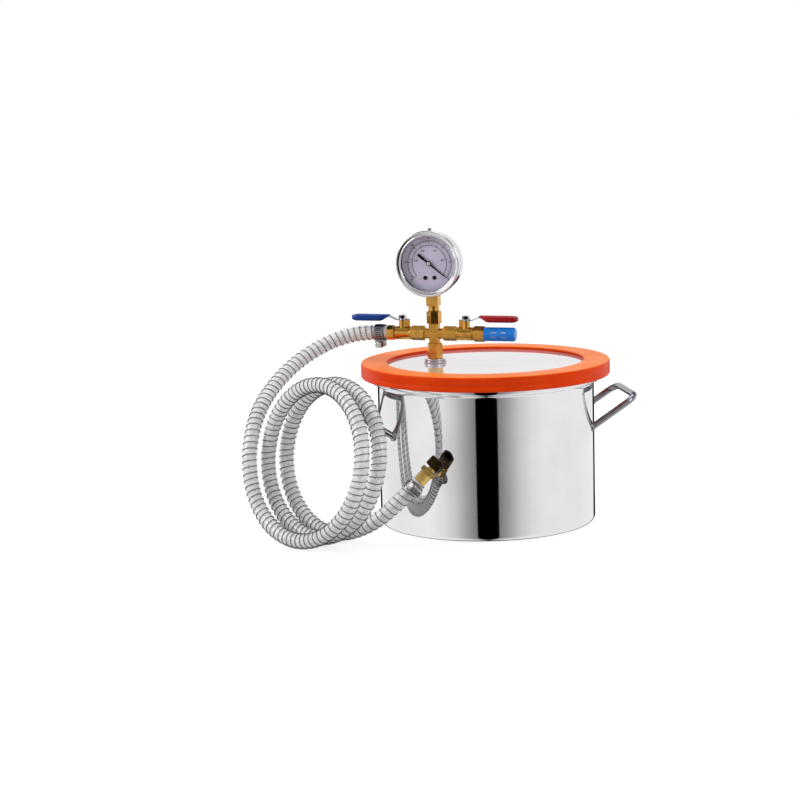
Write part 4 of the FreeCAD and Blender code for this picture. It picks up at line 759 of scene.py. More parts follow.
@dataclass
class Studio:
    """Camera, light, surroundings and floor. Angles round the object go from 0 in front to 1 behind.

    Attributes:
        azimuth_deg: How far the camera stands to the right of the gauge's front.
        elevation_deg: How far it looks down.
        distance: Camera to target, in metres.
        target_height: Height of the target above the floor.
        roll_deg: Turn of the camera about its own axis.
        lens: Focal length in millimetres for a 36 mm sensor.
        shift: Shift of the photograph's frame.
        front_flag: Black flag that metal mirrors round the camera's side, fading to white.
        rear_flag: Angles over which the flag behind the object starts.
        rear_heights: Heights over which that flag ends, as the upward part of the direction.
        clear_heights: Heights over which the front flag gives way to the plain wall.
        wall: Brightness of the wall that metal mirrors above the front flag.
        rear_black: Brightness of the rear flag.
        overhead: Brightness that metal mirrors from level to straight up.
        sides: Brightness of the soft light round the object.
        soft_light: Strength of the soft light.
        softboxes: The lamps.
        lamp_target: Point that they face, in metres.
        floor_size: Side of the floor, in metres.
        floor_matt: Grey of the floor that lights the object.
        floor_shown: Grey of the floor that the camera sees, which takes the shadow.
        floor_lift: Brightness added to the floor that the camera sees.
    """

    azimuth_deg: float = 16.0
    elevation_deg: float = 10.14
    distance: float = 2.5
    target_height: float = 0.09
    roll_deg: float = -1.1
    lens: float = 96.8
    shift: Pair = (-0.1086, 0.0537)
    front_flag: Stops = field(default_factory=lambda: [
        (0.0, 0.0), (0.0632, 0.0), (0.0655, 0.25), (0.122, 0.42), (0.195, 0.71), (0.27, 0.905),
        (0.35, 1.0)])
    rear_flag: Pair = (0.865, 0.88)
    rear_heights: Pair = (-0.03, -0.06)
    clear_heights: Pair = (0.08, 0.3)
    wall: float = 0.9
    rear_black: float = 0.01
    overhead: Stops = field(default_factory=lambda: [(0.0, 1.0), (0.3, 1.0), (0.55, 0.2), (0.9, 0.45)])
    sides: Stops = field(default_factory=lambda: [(0.0, 0.15), (0.22, 0.32), (0.5, 1.0), (1.0, 0.95)])
    soft_light: float = 0.85
    softboxes: tuple[Softbox, ...] = (
        Softbox("left_softbox", (-1.9, -1.1, 1.3), 1.2, 28.0),
        Softbox("right_softbox", (2.0, -0.9, 1.2), 1.0, 15.0),
        Softbox("ceiling_softbox", (0.2, 0.4, 2.2), 1.4, 14.0),
    )
    lamp_target: Point = (0.0, 0.0, 0.12)
    floor_size: float = 40.0
    floor_matt: float = 0.66
    floor_shown: float = 0.45
    floor_lift: float = 0.72

    def add_camera(self) -> None:
        """Stand the camera where the photograph was taken."""
        azimuth, elevation = math.radians(self.azimuth_deg), math.radians(self.elevation_deg)
        back = Vector((math.sin(azimuth) * math.cos(elevation), -math.cos(azimuth) * math.cos(elevation),
                       math.sin(elevation)))
        right = (-back).cross(Vector((0, 0, 1))).normalized()
        up = right.cross(-back)
        roll = math.radians(self.roll_deg)
        rolled_right = right * math.cos(roll) + up * math.sin(roll)
        rolled_up = up * math.cos(roll) - right * math.sin(roll)
        place = Matrix((rolled_right, rolled_up, back)).transposed().to_4x4()
        place.translation = Vector((0, 0, self.target_height)) + back * self.distance
        data = bpy.data.cameras.new("camera")
        data.lens = self.lens
        data.sensor_width = 36.0
        data.shift_x, data.shift_y = self.shift
        camera = placed("camera", data)
        camera.matrix_world = place
        bpy.context.scene.camera = camera

    def angle_behind(self, tree: bpy.types.NodeTree,
                     direction: bpy.types.NodeSocket) -> bpy.types.NodeSocket:
        """Angle of a direction from the camera's side, 0, to straight behind the object, 1."""
        turn = math.radians(90 - self.azimuth_deg)
        turned = add_node(tree, "Mapping", {"Vector": direction, "Rotation": (0, 0, turn)})
        around = add_node(tree, "TexGradient", {"Vector": turned.outputs["Vector"]},
                          gradient_type="RADIAL")
        centred = add_node(tree, "Math", {0: around.outputs["Fac"], 1: 0.5}, operation="SUBTRACT")
        half = add_node(tree, "Math", {0: centred.outputs[0]}, operation="ABSOLUTE")
        return add_node(tree, "Math", {0: half.outputs[0], 1: 2.0}, operation="MULTIPLY").outputs[0]

    def mirrored_room(self, tree: bpy.types.NodeTree, share: bpy.types.NodeSocket,
                      height: bpy.types.NodeSocket) -> bpy.types.NodeSocket:
        """Colour of the room that metal mirrors: a white room with black flags.

        Args:
            tree: Node tree of the world.
            share: Angle round the object from the camera's side.
            height: Upward part of the direction.

        Returns:
            The colour's socket.
        """
        front = add_node(tree, "ValToRGB", {"Fac": share})
        set_ramp(front, self.front_flag)
        behind = add_node(tree, "MapRange", {
            "Value": share, "From Min": self.rear_flag[0], "From Max": self.rear_flag[1]})
        low = add_node(tree, "MapRange", {
            "Value": height, "From Min": self.rear_heights[0], "From Max": self.rear_heights[1]})
        rear = add_node(tree, "Math", {0: behind.outputs[0], 1: low.outputs[0]}, operation="MULTIPLY")
        clear = add_node(tree, "MapRange", {
            "Value": height, "From Min": self.clear_heights[0], "From Max": self.clear_heights[1]})
        walled = add_node(tree, "MixRGB", {
            "Fac": clear.outputs[0], "Color1": front.outputs["Color"], "Color2": grey(self.wall)})
        flagged = add_node(tree, "MixRGB", {
            "Fac": rear.outputs[0], "Color1": walled.outputs["Color"], "Color2": grey(self.rear_black)})
        overhead = add_node(tree, "ValToRGB", {"Fac": height})
        set_ramp(overhead, self.overhead)
        mixed = add_node(tree, "MixRGB", {
            "Fac": 1.0, "Color1": flagged.outputs["Color"], "Color2": overhead.outputs["Color"]},
            blend_type="MULTIPLY")
        return mixed.outputs["Color"]

    def add_surroundings(self) -> None:
        """White room that the camera sees plain, that lights softly, and that metal mirrors with flags."""
        world = bpy.data.worlds.new("room")
        bpy.context.scene.world = world
        world.use_nodes = True
        tree = world.node_tree
        direction = add_node(tree, "TexCoord").outputs["Generated"]
        share = self.angle_behind(tree, direction)
        height = add_node(tree, "SeparateXYZ", {"Vector": direction}).outputs["Z"]
        room = self.mirrored_room(tree, share, height)
        sides = add_node(tree, "ValToRGB", {"Fac": share})
        set_ramp(sides, self.sides)
        soft = add_node(tree, "Background", {
            "Color": sides.outputs["Color"], "Strength": self.soft_light})
        glossy = add_node(tree, "Background", {"Color": room, "Strength": 1.0})
        white = add_node(tree, "Background", {"Color": grey(1.0), "Strength": 1.0})
        path = add_node(tree, "LightPath")
        lit = add_node(tree, "MixShader", {
            0: path.outputs["Is Glossy Ray"], 1: soft.outputs[0], 2: glossy.outputs[0]})
        seen = add_node(tree, "Math", {
            0: path.outputs["Is Camera Ray"], 1: path.outputs["Is Transmission Ray"]},
            operation="MAXIMUM")
        final = add_node(tree, "MixShader", {0: seen.outputs[0], 1: lit.outputs[0], 2: white.outputs[0]})
        set_inputs(tree, tree.nodes["World Output"], {"Surface": final.outputs[0]})

    def floor_material(self) -> bpy.types.Material:
        """Pale floor that keeps the shadow, and that polished metal doesn't mirror."""
        made = bpy.data.materials.new("pale_floor")
        made.use_nodes = True
        tree = made.node_tree
        tree.nodes.remove(tree.nodes["Principled BSDF"])
        path = add_node(tree, "LightPath")
        matt = add_node(tree, "BsdfDiffuse", {"Color": grey(self.floor_matt)})
        pale = add_node(tree, "BsdfDiffuse", {"Color": grey(self.floor_shown)})
        lift = add_node(tree, "Emission", {"Color": grey(1.0), "Strength": self.floor_lift})
        shown = add_node(tree, "AddShader", {0: pale.outputs[0], 1: lift.outputs[0]})
        seen = add_node(tree, "MixShader", {
            0: path.outputs["Is Camera Ray"], 1: matt.outputs[0], 2: shown.outputs[0]})
        clear = add_node(tree, "BsdfTransparent")
        mirrored = add_node(tree, "Math", {
            0: path.outputs["Is Glossy Ray"], 1: path.outputs["Is Transmission Ray"]},
            operation="MAXIMUM")
        final = add_node(tree, "MixShader", {
            0: mirrored.outputs[0], 1: seen.outputs[0], 2: clear.outputs[0]})
        set_inputs(tree, tree.nodes["Material Output"], {"Surface": final.outputs[0]})
        return made

    def add_floor(self) -> None:
        """Lay the floor."""
        mesh = bmesh.new()
        bmesh.ops.create_grid(mesh, x_segments=1, y_segments=1, size=self.floor_size / 2)
        data = bpy.data.meshes.new("floor")
        mesh.to_mesh(data)
        mesh.free()
        data.materials.append(self.floor_material())
        floor = placed("floor", data)

    def build(self) -> None:
        """Set the whole studio up."""
        scene = bpy.context.scene
        scene.view_settings.view_transform = "Standard"
        # Light passes through many of the hose's clear walls in a row.
        scene.cycles.transparent_max_bounces = 40
        self.add_camera()
        self.add_surroundings()
        for softbox in self.softboxes:
            softbox.hang(self.lamp_target)
        self.add_floor()
        LOG.info("studio is set up")


@dataclass
class Hose:
    """Clear hose with a wire helix in its wall, from the left valve through the coil to its end fitting.

    Attributes:
        diameter: Outside diameter in millimetres.
        bore: Inside diameter.
        wire: Diameter of the wire.
        pitch: Distance from one turn of the wire to the next.
        start: Where the hose leaves the barb.
        end: Where it meets its end fitting.
        run: Chosen points from the valve to the coil, in millimetres.
        tail: Chosen points from the coil to the end fitting.
        centre: Place on the floor under the coil's middle.
        axis_deg: Turn of the coil's axis.
        lean_deg: How far the turns lean towards the pot.
        first_radius: Radius of the first turn, at the hose's middle.
        radius_loss: How much smaller each turn is.
        coil_pitch: Distance from one turn of the coil to the next.
        full_angle: Angle along the turns at which the first radius holds.
        middle_angle: Angle at the coil's middle.
        first_angle: Angle where the coil starts.
        last_angle: Angle where it ends.
        step_deg: Angle between two points of a turn.
        wall_cover: How far the wire's helix lies inside the middle of the wall.
    """

    diameter: float = 18.0
    bore: float = 15.6
    wire: float = 1.0
    pitch: float = 7.0
    start: Point = HOSE_START
    end: Point = HOSE_END
    run: list[Point] = field(default_factory=lambda: [
        (-140.7, -8.0, 218.5), (-165.0, -12.5, 214.0), (-188.0, -22.0, 205.0), (-210.0, -39.0, 191.0),
        (-225.5, -60.5, 174.5), (-235.0, -84.5, 157.0), (-239.5, -109.5, 138.0), (-240.0, -129.5, 115.5)])
    tail: list[Point] = field(default_factory=lambda: [
        (-141.0, -146.0, 9.0), (-118.0, -154.5, 12.0), (-94.5, -160.0, 21.0), (-72.5, -160.5, 35.5),
        (-53.7, -155.6, 53.5)])
    centre: Pair = (-148.0, -157.7)
    axis_deg: float = 28.8
    lean_deg: float = 10.3
    first_radius: float = 86.6
    radius_loss: float = 1.3
    coil_pitch: float = 26.0
    full_angle: float = 180.0
    middle_angle: float = 585.0
    first_angle: float = 184.0
    last_angle: float = 976.0
    step_deg: float = 24.0
    wall_cover: float = 0.05

    def coil_point(self, degrees: float) -> Point:
        """Control point of the hose's line at an angle along the coil's turns.

        Args:
            degrees: Angle along the turns, which grows by 360 each turn.

        Returns:
            The point in millimetres.
        """
        turn, lean = math.radians(self.axis_deg), math.radians(self.lean_deg)
        axis = Vector((-math.sin(turn), -math.cos(turn), 0))
        level = Vector((math.cos(turn), -math.sin(turn), 0))
        rising = Vector((0, 0, 1)) * math.cos(lean) - axis * math.sin(lean)
        radius = self.first_radius - self.radius_loss * (degrees - self.full_angle) / 360
        angle = math.radians(degrees)
        # A smooth line of order 3 runs inside its points by this share of their own circle.
        outer = radius / (0.75 + 0.25 * math.cos(math.radians(self.step_deg)))
        middle = Vector((*self.centre, self.diameter / 2 + radius * math.cos(lean)))
        along = axis * (self.coil_pitch * (self.middle_angle - degrees) / 360)
        point = middle + along + level * (outer * math.cos(angle)) + rising * (outer * math.sin(angle))
        return point.x, point.y, point.z

    def route(self) -> list[Vector]:
        """Control points of the whole hose, in metres."""
        turns = round((self.last_angle - self.first_angle) / self.step_deg)
        coil = [self.coil_point(self.first_angle + self.step_deg * index) for index in range(turns + 1)]
        return [Vector(point) * MM for point in [self.start, *self.run, *coil, *self.tail, self.end]]

    def line(self, name: str, radius: float, rings: int) -> bpy.types.Curve:
        """Smooth curve along the route.

        Args:
            name: Name of the curve.
            radius: Radius of its round section, or 0 for a bare line.
            rings: Bevel resolution of the section.

        Returns:
            The curve.
        """
        curve = round_line(name, "NURBS", self.route(), radius, rings)
        curve.resolution_u = 8
        spline = curve.splines[0]
        spline.order_u = 3
        spline.use_endpoint_u = True
        spline.use_smooth = True
        return curve

    def middle(self) -> list[Vector]:
        """Points that Blender gives for the route's smooth line."""
        data = mesh_of(self.line("hose_middle", radius=0.0, rings=0))
        points = [vertex.co.copy() for vertex in data.vertices]
        bpy.data.meshes.remove(data)
        return points

    def wire_points(self, middle: list[Vector], per_turn: int) -> list[Vector]:
        """Points of the wire's helix round the hose's middle.

        Args:
            middle: Points of the hose's smooth line.
            per_turn: Points in one turn of the wire.

        Returns:
            The helix's points.
        """
        lengths = [0.0]
        for first, second in zip(middle, middle[1:]):
            lengths.append(lengths[-1] + (second - first).length)
        radius = ((self.diameter + self.bore) / 4 - self.wall_cover) * MM
        count = int(lengths[-1] / (self.pitch * MM) * per_turn)
        side = (middle[1] - middle[0]).cross(Vector((0, 0, 1))).normalized()
        points, index = [], 0
        for number in range(count + 1):
            at = lengths[-1] * number / count
            while index < len(middle) - 2 and lengths[index + 1] < at:
                index += 1
            forward = (middle[index + 1] - middle[index]).normalized()
            share = (at - lengths[index]) / (lengths[index + 1] - lengths[index])
            side = (side - forward * side.dot(forward)).normalized()
            other = forward.cross(side)
            angle = FULL_TURN * number / per_turn
            spot = middle[index].lerp(middle[index + 1], share)
            points.append(spot + (side * math.cos(angle) + other * math.sin(angle)) * radius)
        return points

    def build(self) -> None:
        middle = self.middle()
        wall = placed("hose_wall", self.line("hose_wall", self.diameter / 2 * MM, rings=6))
        wall.data.materials.append(CLEAR_VINYL.material())
        settle(wall, "chamber", "clear_pvc", "hose_run", "hose_coil", "hose_tail")
        bore = swept("hose_bore", middle, self.bore / 2 * MM, rings=5, finish=CLOUDY_VINYL)
        settle(bore, "chamber", "clear_pvc")
        helix = self.wire_points(middle, per_turn=18)
        wire = swept("hose_wire", helix, self.wire / 2 * MM, rings=1, finish=HOSE_WIRE)
        settle(wire, "chamber", "plated_steel")


@dataclass
class Pot:
    """Polished pot, its handles, its gasket and its clear lid. Sizes are in millimetres.

    Attributes:
        radius: Outer radius of the wall.
        height: Height of the rim.
        wall: Thickness of the sheet.
        corner: Outer radius between the bottom and the wall.
        plate: Radius of the bottom's middle, which is one flat face.
        rings: Heights of the rings that part the wall into its faces.
        rim: Outer radius of the hemmed rim.
        hem_height: Height of the hem.
        hem: Thickness of the hem.
        flare: Height of the flare below the hem.
        steps: Segments round the pot.
        handle_turn: Angle of the right handle.
        handle_rod: Diameter of the handles' rod.
        handle_width: Distance between a handle's arms.
        handle_reach: How far a handle stands out.
        handle_root: Height where an arm meets the wall.
        handle_rise: Angle of the arms above level.
        handle_bend: Radius of a handle's bends.
        handle_sink: How far an arm's end lies inside the wall.
        bend_steps: Points of a handle's bend.
        bead: Radius of a weld bead's own section.
        bead_middle: Radius from the arm's middle to the bead's, and its height above the wall.
        bead_mouth: Inner radius of the bead, and the heights of its inner edges.
        bead_tilt: Share of the arm's rise and of the wall's turn that the bead follows.
        gasket_radii: Outer and inner radius of the gasket.
        gasket_heights: Its lowest and highest point.
        gasket_edges: Radius of its outer edges, its upper inner and its lower inner edge.
        gasket_gap: Gap between its channel and the lid's edge.
        parting: Height, half width and depth of the parting line above the gasket's foot.
        dish: Where the gasket's top starts to fall from outside and from inside, and how deep.
        lid_radius: Radius of the lid.
        lid_heights: Its underside and its top.
        lid_chamfer: Polished chamfer of the lid's edge.
        hole: Radius of the hole below the manifold.
    """

    radius: float = 125.0
    height: float = 171.0
    wall: float = 1.0
    corner: float = 6.0
    plate: float = 60.0
    rings: Pair = (60.0, 110.0)
    rim: float = 132.5
    hem_height: float = 2.6
    hem: float = 2.4
    flare: float = 7.6
    steps: int = 256
    handle_turn: float = 26.0
    handle_rod: float = 7.5
    handle_width: float = 94.0
    handle_reach: float = 42.0
    handle_root: float = 117.5
    handle_rise: float = 33.0
    handle_bend: float = 14.0
    handle_sink: float = 0.4
    bend_steps: int = 12
    bead: float = 1.5
    bead_middle: Pair = (4.4, -0.2)
    bead_mouth: Triple = (2.0, -1.6, 1.4)
    bead_tilt: Pair = (0.35, 0.7)
    gasket_radii: Pair = (143.5, 113.5)
    gasket_heights: Pair = (171.0, 188.0)
    gasket_edges: Triple = (2.0, 1.4, 0.8)
    gasket_gap: float = 0.2
    parting: Triple = (6.1, 0.2, 0.12)
    dish: Triple = (12.0, 9.0, 0.12)
    lid_radius: float = 140.3
    lid_heights: Pair = (174.5, 184.5)
    lid_chamfer: float = 0.6
    hole: float = 6.3

    def section(self) -> list[Pair]:
        """Section of the pot from the centre of its bottom, out and up, and back inside."""
        shift = self.rim - self.radius
        bend = (shift ** 2 + self.flare ** 2) / (4 * shift)
        swing = math.degrees(2 * math.atan2(shift, self.flare))
        hem_bottom = self.height - self.hem_height
        flare_bottom = hem_bottom - self.flare
        low = (self.radius - self.corner, self.corner)
        out, up = (self.radius + bend, flare_bottom), (self.rim - bend, hem_bottom)
        half = self.hem / 2
        inside = self.radius - self.wall
        return [
            (self.plate, 0.0), *arc(low, self.corner, -90, 0, 8),
            *((self.radius, height) for height in self.rings),
            *arc(out, bend, 180, 180 - swing, 8), *arc(up, bend, -swing, 0, 8)[1:],
            *arc((self.rim - half, self.height - half), half, 0, 180, 8),
            (self.rim - self.hem, hem_bottom), (self.rim - self.wall, hem_bottom),
            *arc(up, bend - self.wall, 0, -swing, 8)[1:],
            *arc(out, bend + self.wall, 180 - swing, 180, 8),
            *((inside, height) for height in reversed(self.rings)),
            *arc(low, self.corner - self.wall, 0, -90, 8), (self.plate, self.wall),
        ]

    def add_shell(self) -> None:
        """Spin the pot's sheet as one closed wall, and close the middle of its bottom."""
        mesh = spun(self.section(), self.steps)
        middle = {vertex for vertex in mesh.verts if abs(vertex.co.xy.length - self.plate) < TOUCH}
        rims = [edge for edge in mesh.edges if middle.issuperset(edge.verts)]
        for height in (0.0, self.wall):
            loop = [edge for edge in rims if all(abs(v.co.z - height) < TOUCH for v in edge.verts)]
            bmesh.ops.contextual_create(mesh, geom=loop)
        between = [face for face in mesh.faces
                   if abs(face.normal.z) < UPRIGHT and middle.issuperset(face.verts)]
        bmesh.ops.delete(mesh, geom=between, context="FACES_ONLY")
        shell = finish_mesh("pot_shell", mesh, Matrix.Identity(4), POLISHED_STEEL)
        settle(shell, "chamber", "polished_steel", "pot")

    def weld_spot(self) -> Vector:
        """Where the middle of a handle's arm goes through the wall, in millimetres, before its turn."""
        half = self.handle_width / 2
        across = math.sqrt(self.radius ** 2 - half ** 2)
        drop = (self.radius - across) * math.tan(math.radians(self.handle_rise))
        return Vector((across, half, self.handle_root - drop))

    def handle_line(self) -> list[Vector]:
        """Middle of a handle's rod before its turn, in millimetres, with both bends rounded."""
        slope = math.tan(math.radians(self.handle_rise))
        tip, half = self.radius + self.handle_reach, self.handle_width / 2
        root = self.weld_spot().x - self.handle_sink
        low = self.handle_root + (root - self.radius) * slope
        high = self.handle_root + self.handle_reach * slope
        corners = [Vector((root, -half, low)), Vector((tip, -half, high)),
                   Vector((tip, half, high)), Vector((root, half, low))]
        points = [corners[0]]
        for before, corner, after in zip(corners, corners[1:], corners[2:]):
            inward, outward = (before - corner).normalized(), (after - corner).normalized()
            half_angle = inward.angle(outward) / 2
            setback = self.handle_bend / math.tan(half_angle)
            middle = corner + (inward + outward).normalized() * (self.handle_bend / math.sin(half_angle))
            first, last = corner + inward * setback - middle, corner + outward * setback - middle
            for step in range(self.bend_steps + 1):
                way = first.slerp(last, step / self.bend_steps).normalized()
                points.append(middle + way * self.handle_bend)
        return [*points, corners[3]]

    def weld_bead(self, end: int) -> bmesh.types.BMesh:
        """Weld bead round an arm's end, before the handle's turn.

        Args:
            end: -1 for the first arm, 1 for the second.

        Returns:
            The bead's shape.
        """
        inner, low, high = self.bead_mouth
        crown = arc(self.bead_middle, self.bead, -100, 110, 8)
        bead = spun([(inner, low), *crown, (inner, high)], steps=40)
        spot = self.weld_spot()
        rise = Matrix.Rotation(math.radians(90 - self.handle_rise * self.bead_tilt[0]), 4, "Y")
        facing = Matrix.Rotation(math.atan2(end * spot.y, spot.x) * self.bead_tilt[1], 4, "Z")
        shift = Matrix.Translation((spot.x, end * spot.y, spot.z))
        bmesh.ops.transform(bead, matrix=shift @ facing @ rise, verts=bead.verts)
        return bead

    def add_handles(self) -> None:
        """Bend both rods and lay a weld bead where each arm meets the wall."""
        line = self.handle_line()
        for side, turn in (("right", self.handle_turn), ("left", self.handle_turn + 180)):
            place = Matrix.Rotation(math.radians(turn), 4, "Z")
            middle = [place @ point * MM for point in line]
            rod = swept(f"handle_rod_{side}", middle, self.handle_rod / 2 * MM, rings=6, finish=ROD_STEEL)
            settle(rod, "chamber", "handle_steel", "handle_" + side)
            beads = joined(self.weld_bead(-1), self.weld_bead(1))
            weld = finish_mesh(f"handle_weld_{side}", beads, place, WELD_STEEL, smooth_deg=80.0)
            settle(weld, "chamber", "handle_steel")

    def add_gasket(self) -> None:
        """Spin the gasket's channel, with soft edges and a thin parting line round its side."""
        outer, inner = self.gasket_radii
        low, high = self.gasket_heights
        under, top = self.lid_heights
        web = self.lid_radius + self.gasket_gap
        edge, lip, foot = self.gasket_edges
        line, half, depth = self.parting
        from_outside, from_inside, fall = self.dish
        outline = [
            (inner, under), (inner, low + foot), *arc((inner + foot, low + foot), foot, 180, 270, 6)[1:],
            *arc((outer - edge, low + edge), edge, -90, 0, 8), (outer, low + line - half),
            (outer - depth, low + line), (outer, low + line + half),
            *arc((outer - edge, high - edge), edge, 0, 90, 8), (outer - from_outside, high - fall),
            (inner + from_inside, high - fall), *arc((inner + lip, high - lip), lip, 90, 180, 8),
            (inner, top), (web, top), (web, under),
        ]
        ring = finish_mesh("gasket_ring", spun(outline, self.steps), Matrix.Identity(4), ORANGE_SILICONE)
        settle(ring, "chamber", "silicone", "lid_gasket")

    def add_lid(self) -> None:
        """Make the clear disc with its chamfer, and drill it where the manifold stands."""
        low, high = self.lid_heights
        disc = bmesh.new()
        bmesh.ops.create_cone(disc, cap_ends=True, segments=self.steps, radius1=self.lid_radius,
                              radius2=self.lid_radius, depth=high - low)
        rims = [line for line in disc.edges if abs(line.verts[0].co.z - line.verts[1].co.z) < TOUCH]
        bmesh.ops.bevel(disc, geom=rims, offset=self.lid_chamfer, segments=1, profile=0.5,
                        affect="EDGES", material=-1)
        bmesh.ops.translate(disc, verts=disc.verts, vec=(0, 0, (low + high) / 2))
        for cap in [face for face in disc.faces if abs(face.normal.z) > LEVEL]:
            shift = Matrix.Translation((*CROSS_CENTRE[:2], cap.calc_center_median().z))
            hole = bmesh.ops.create_circle(disc, segments=64, radius=self.hole, matrix=shift)["verts"]
            ring = [line for line in disc.edges if line.verts[0] in hole and line.verts[1] in hole]
            outer = list(cap.edges)
            bmesh.ops.delete(disc, geom=[cap], context="FACES_ONLY")
            bmesh.ops.triangle_fill(disc, use_beauty=True, use_dissolve=False, edges=outer + ring)
        bmesh.ops.bridge_loops(disc, edges=[line for line in disc.edges if line.is_boundary])
        piece = finish_mesh("lid_disc", disc, Matrix.Identity(4), CAST_ACRYLIC)
        settle(piece, "chamber", "acrylic", "lid_plate")

    def build(self) -> None:
        """Make and dress the pot and what lies on it."""
        self.add_shell()
        self.add_handles()
        self.add_gasket()
        self.add_lid()
        dress({
            "lid_washer_lower": WASHER_STEEL, "lid_washer_upper": WASHER_STEEL,
            "lid_washer_under": WASHER_STEEL, "lid_nut": TURNED_BRASS, "lid_coupling": TURNED_BRASS,
        })


@dataclass
class Valve:
    """Ball valve with its cranked lever and soft sleeve, in millimetres from the cross's centre.

    Attributes:
        side: "left" or "right", as the part's nodes are named.
        turn: Turn of the valve about the cross's upright axis.
        vinyl: Finish of the sleeve.
        stem: Place of the stem along the valve.
        hub_height: Underside of the lever at its hub.
        rise: How far the crank lifts the lever.
        strip: Thickness of the lever's strip.
        cover: Thickness of the vinyl above the strip.
        sleeve: Sections of the sleeve: place along it, half width, and how far its underside and its top
            lie below its highest line.
        squareness: How square its sections are: 2 is round.
        nut_flats: Width of the lever nut.
        nut_height: Height of the nut.
        flange_share: Width of the nut's flange as a share of its flats.
        flange_heights: Height of the flange's edge and of the whole flange.
        stem_end: Radius of the stem's end in the nut, the radius of its edge, and how far it stands out.
    """

    side: str
    turn: float
    vinyl: Finish
    stem: float = 38.2
    hub_height: float = 14.9
    rise: float = 4.4
    strip: float = 1.2
    cover: float = 0.9
    sleeve: tuple[Station, ...] = (
        (16.2, 3.9, 2.6, 0.5), (16.5, 4.4, 3.0, 0.1), (18.5, 4.8, 3.4, 0.0), (21.5, 5.7, 5.0, 0.0),
        (24.5, 6.8, 7.0, 0.0), (27.0, 7.2, 7.8, 0.0), (33.0, 7.25, 7.85, -0.05),
        (50.0, 7.25, 7.85, -0.05), (55.0, 7.1, 7.8, 0.0), (58.0, 6.4, 7.5, 0.2), (60.2, 5.0, 6.8, 0.8),
        (61.5, 3.2, 5.9, 1.6), (62.0, 1.4, 4.9, 2.6),
    )
    squareness: float = 3.4
    nut_flats: float = 8.2
    nut_height: float = 4.6
    flange_share: float = 1.15
    flange_heights: Pair = (0.5, 0.8)
    stem_end: Triple = (2.3, 0.6, 0.3)

    def place(self) -> Matrix:
        """Where the stem's axis lies on the part, in metres."""
        turned = Matrix.Rotation(math.radians(self.turn), 4, "Z")
        out = Matrix.Translation((self.stem * MM, 0, 0))
        return Matrix.Translation(Vector(CROSS_CENTRE) * MM) @ turned @ out

    def add_sleeve(self) -> None:
        """Loft the dipped sleeve from its thin neck to its rounded end."""
        top = self.hub_height + self.rise + self.strip + self.cover
        stations = [(along, half, top - under, top - over) for along, half, under, over in self.sleeve]
        shape = lofted(stations, self.squareness, sides=32)
        sleeve = finish_mesh(f"{self.side}_lever_grip", shape, self.place(), self.vinyl, smooth_deg=60.0)
        settle(sleeve, self.side + "_valve", self.side + "_sleeve_vinyl", self.side + "_valve_sleeve")

    def add_nut(self) -> None:
        """Flange nut with the stem's rounded end standing in it."""
        base = self.hub_height + self.strip
        half = self.nut_flats * self.flange_share / 2
        edge, thickness = self.flange_heights
        flange = spun([(AXIS, base), (half, base), (half, base + edge), (half - edge, base + thickness),
                       (AXIS, base + thickness)], steps=48)
        nut = hexagonal(self.nut_flats, self.nut_height - edge, base + edge, turn_deg=15.0)
        radius, rounding, stand = self.stem_end
        shoulder = base + self.nut_height + stand
        end = spun([(AXIS, base), (radius, base), (radius, shoulder),
                    *arc((radius - rounding, shoulder), rounding, 0, 90, 4)[1:],
                    (AXIS, shoulder + rounding)], steps=32)
        whole = joined(flange, nut, end)
        piece = finish_mesh(f"{self.side}_stem_nut", whole, self.place(), PLATED_STEEL, smooth_deg=35.0)
        settle(piece, self.side + "_valve", "nut_chrome", self.side + "_valve_lever_nut")

    def build(self) -> None:
        """Make the lever's soft pieces and dress the rest."""
        self.add_sleeve()
        self.add_nut()
        finishes = {
            "body": TURNED_BRASS, "retainer": TURNED_BRASS, "seats": FLUOROPOLYMER, "ball": PLATED_STEEL,
            "stem": TURNED_BRASS, "packing": FLUOROPOLYMER, "lever": LEVER_STEEL,
        }
        dress({f"{self.side}_valve_{name}": finish for name, finish in finishes.items()})


@dataclass
class HoseClamp:
    """Worm drive clamp. Sizes are in millimetres from the hose's end face, the hose below it.

    Attributes:
        end: "near" or "far", as the part's nodes are named.
        face: Place of the hose's end face.
        direction: Way that the fitting leaves the hose.
        radius: Outer radius of the band.
        height: Height of the band's middle.
        slots: Slots stamped round the band.
        slot: Depth, width and length of a slot's dark mark, painted shade.
    """

    end: str
    face: Point
    direction: Point
    radius: float = 9.75
    height: float = -9.0
    slots: int = 26
    slot: Triple = (0.16, 0.9, 6.2)

    def build(self) -> None:
        """Dress the clamp and lay its band's slots as dark marks of painted shade."""
        dress({
            self.end + "_clamp_band": CLAMP_STEEL, self.end + "_clamp_housing": CLAMP_STEEL,
            self.end + "_clamp_screw": PLATED_STEEL,
        })
        middle = (self.radius, 0, self.height)
        marks = [block(self.slot, middle, 360.0 * index / self.slots) for index in range(self.slots)]
        turn = Vector((0, 0, 1)).rotation_difference(Vector(self.direction)).to_matrix().to_4x4()
        place = Matrix.Translation(Vector(self.face) * MM) @ turn
        piece = finish_mesh(self.end + "_clamp_slot_shade", joined(*marks), place, SLOT_SHADE)
        settle(piece, "chamber", "clamp_steel")


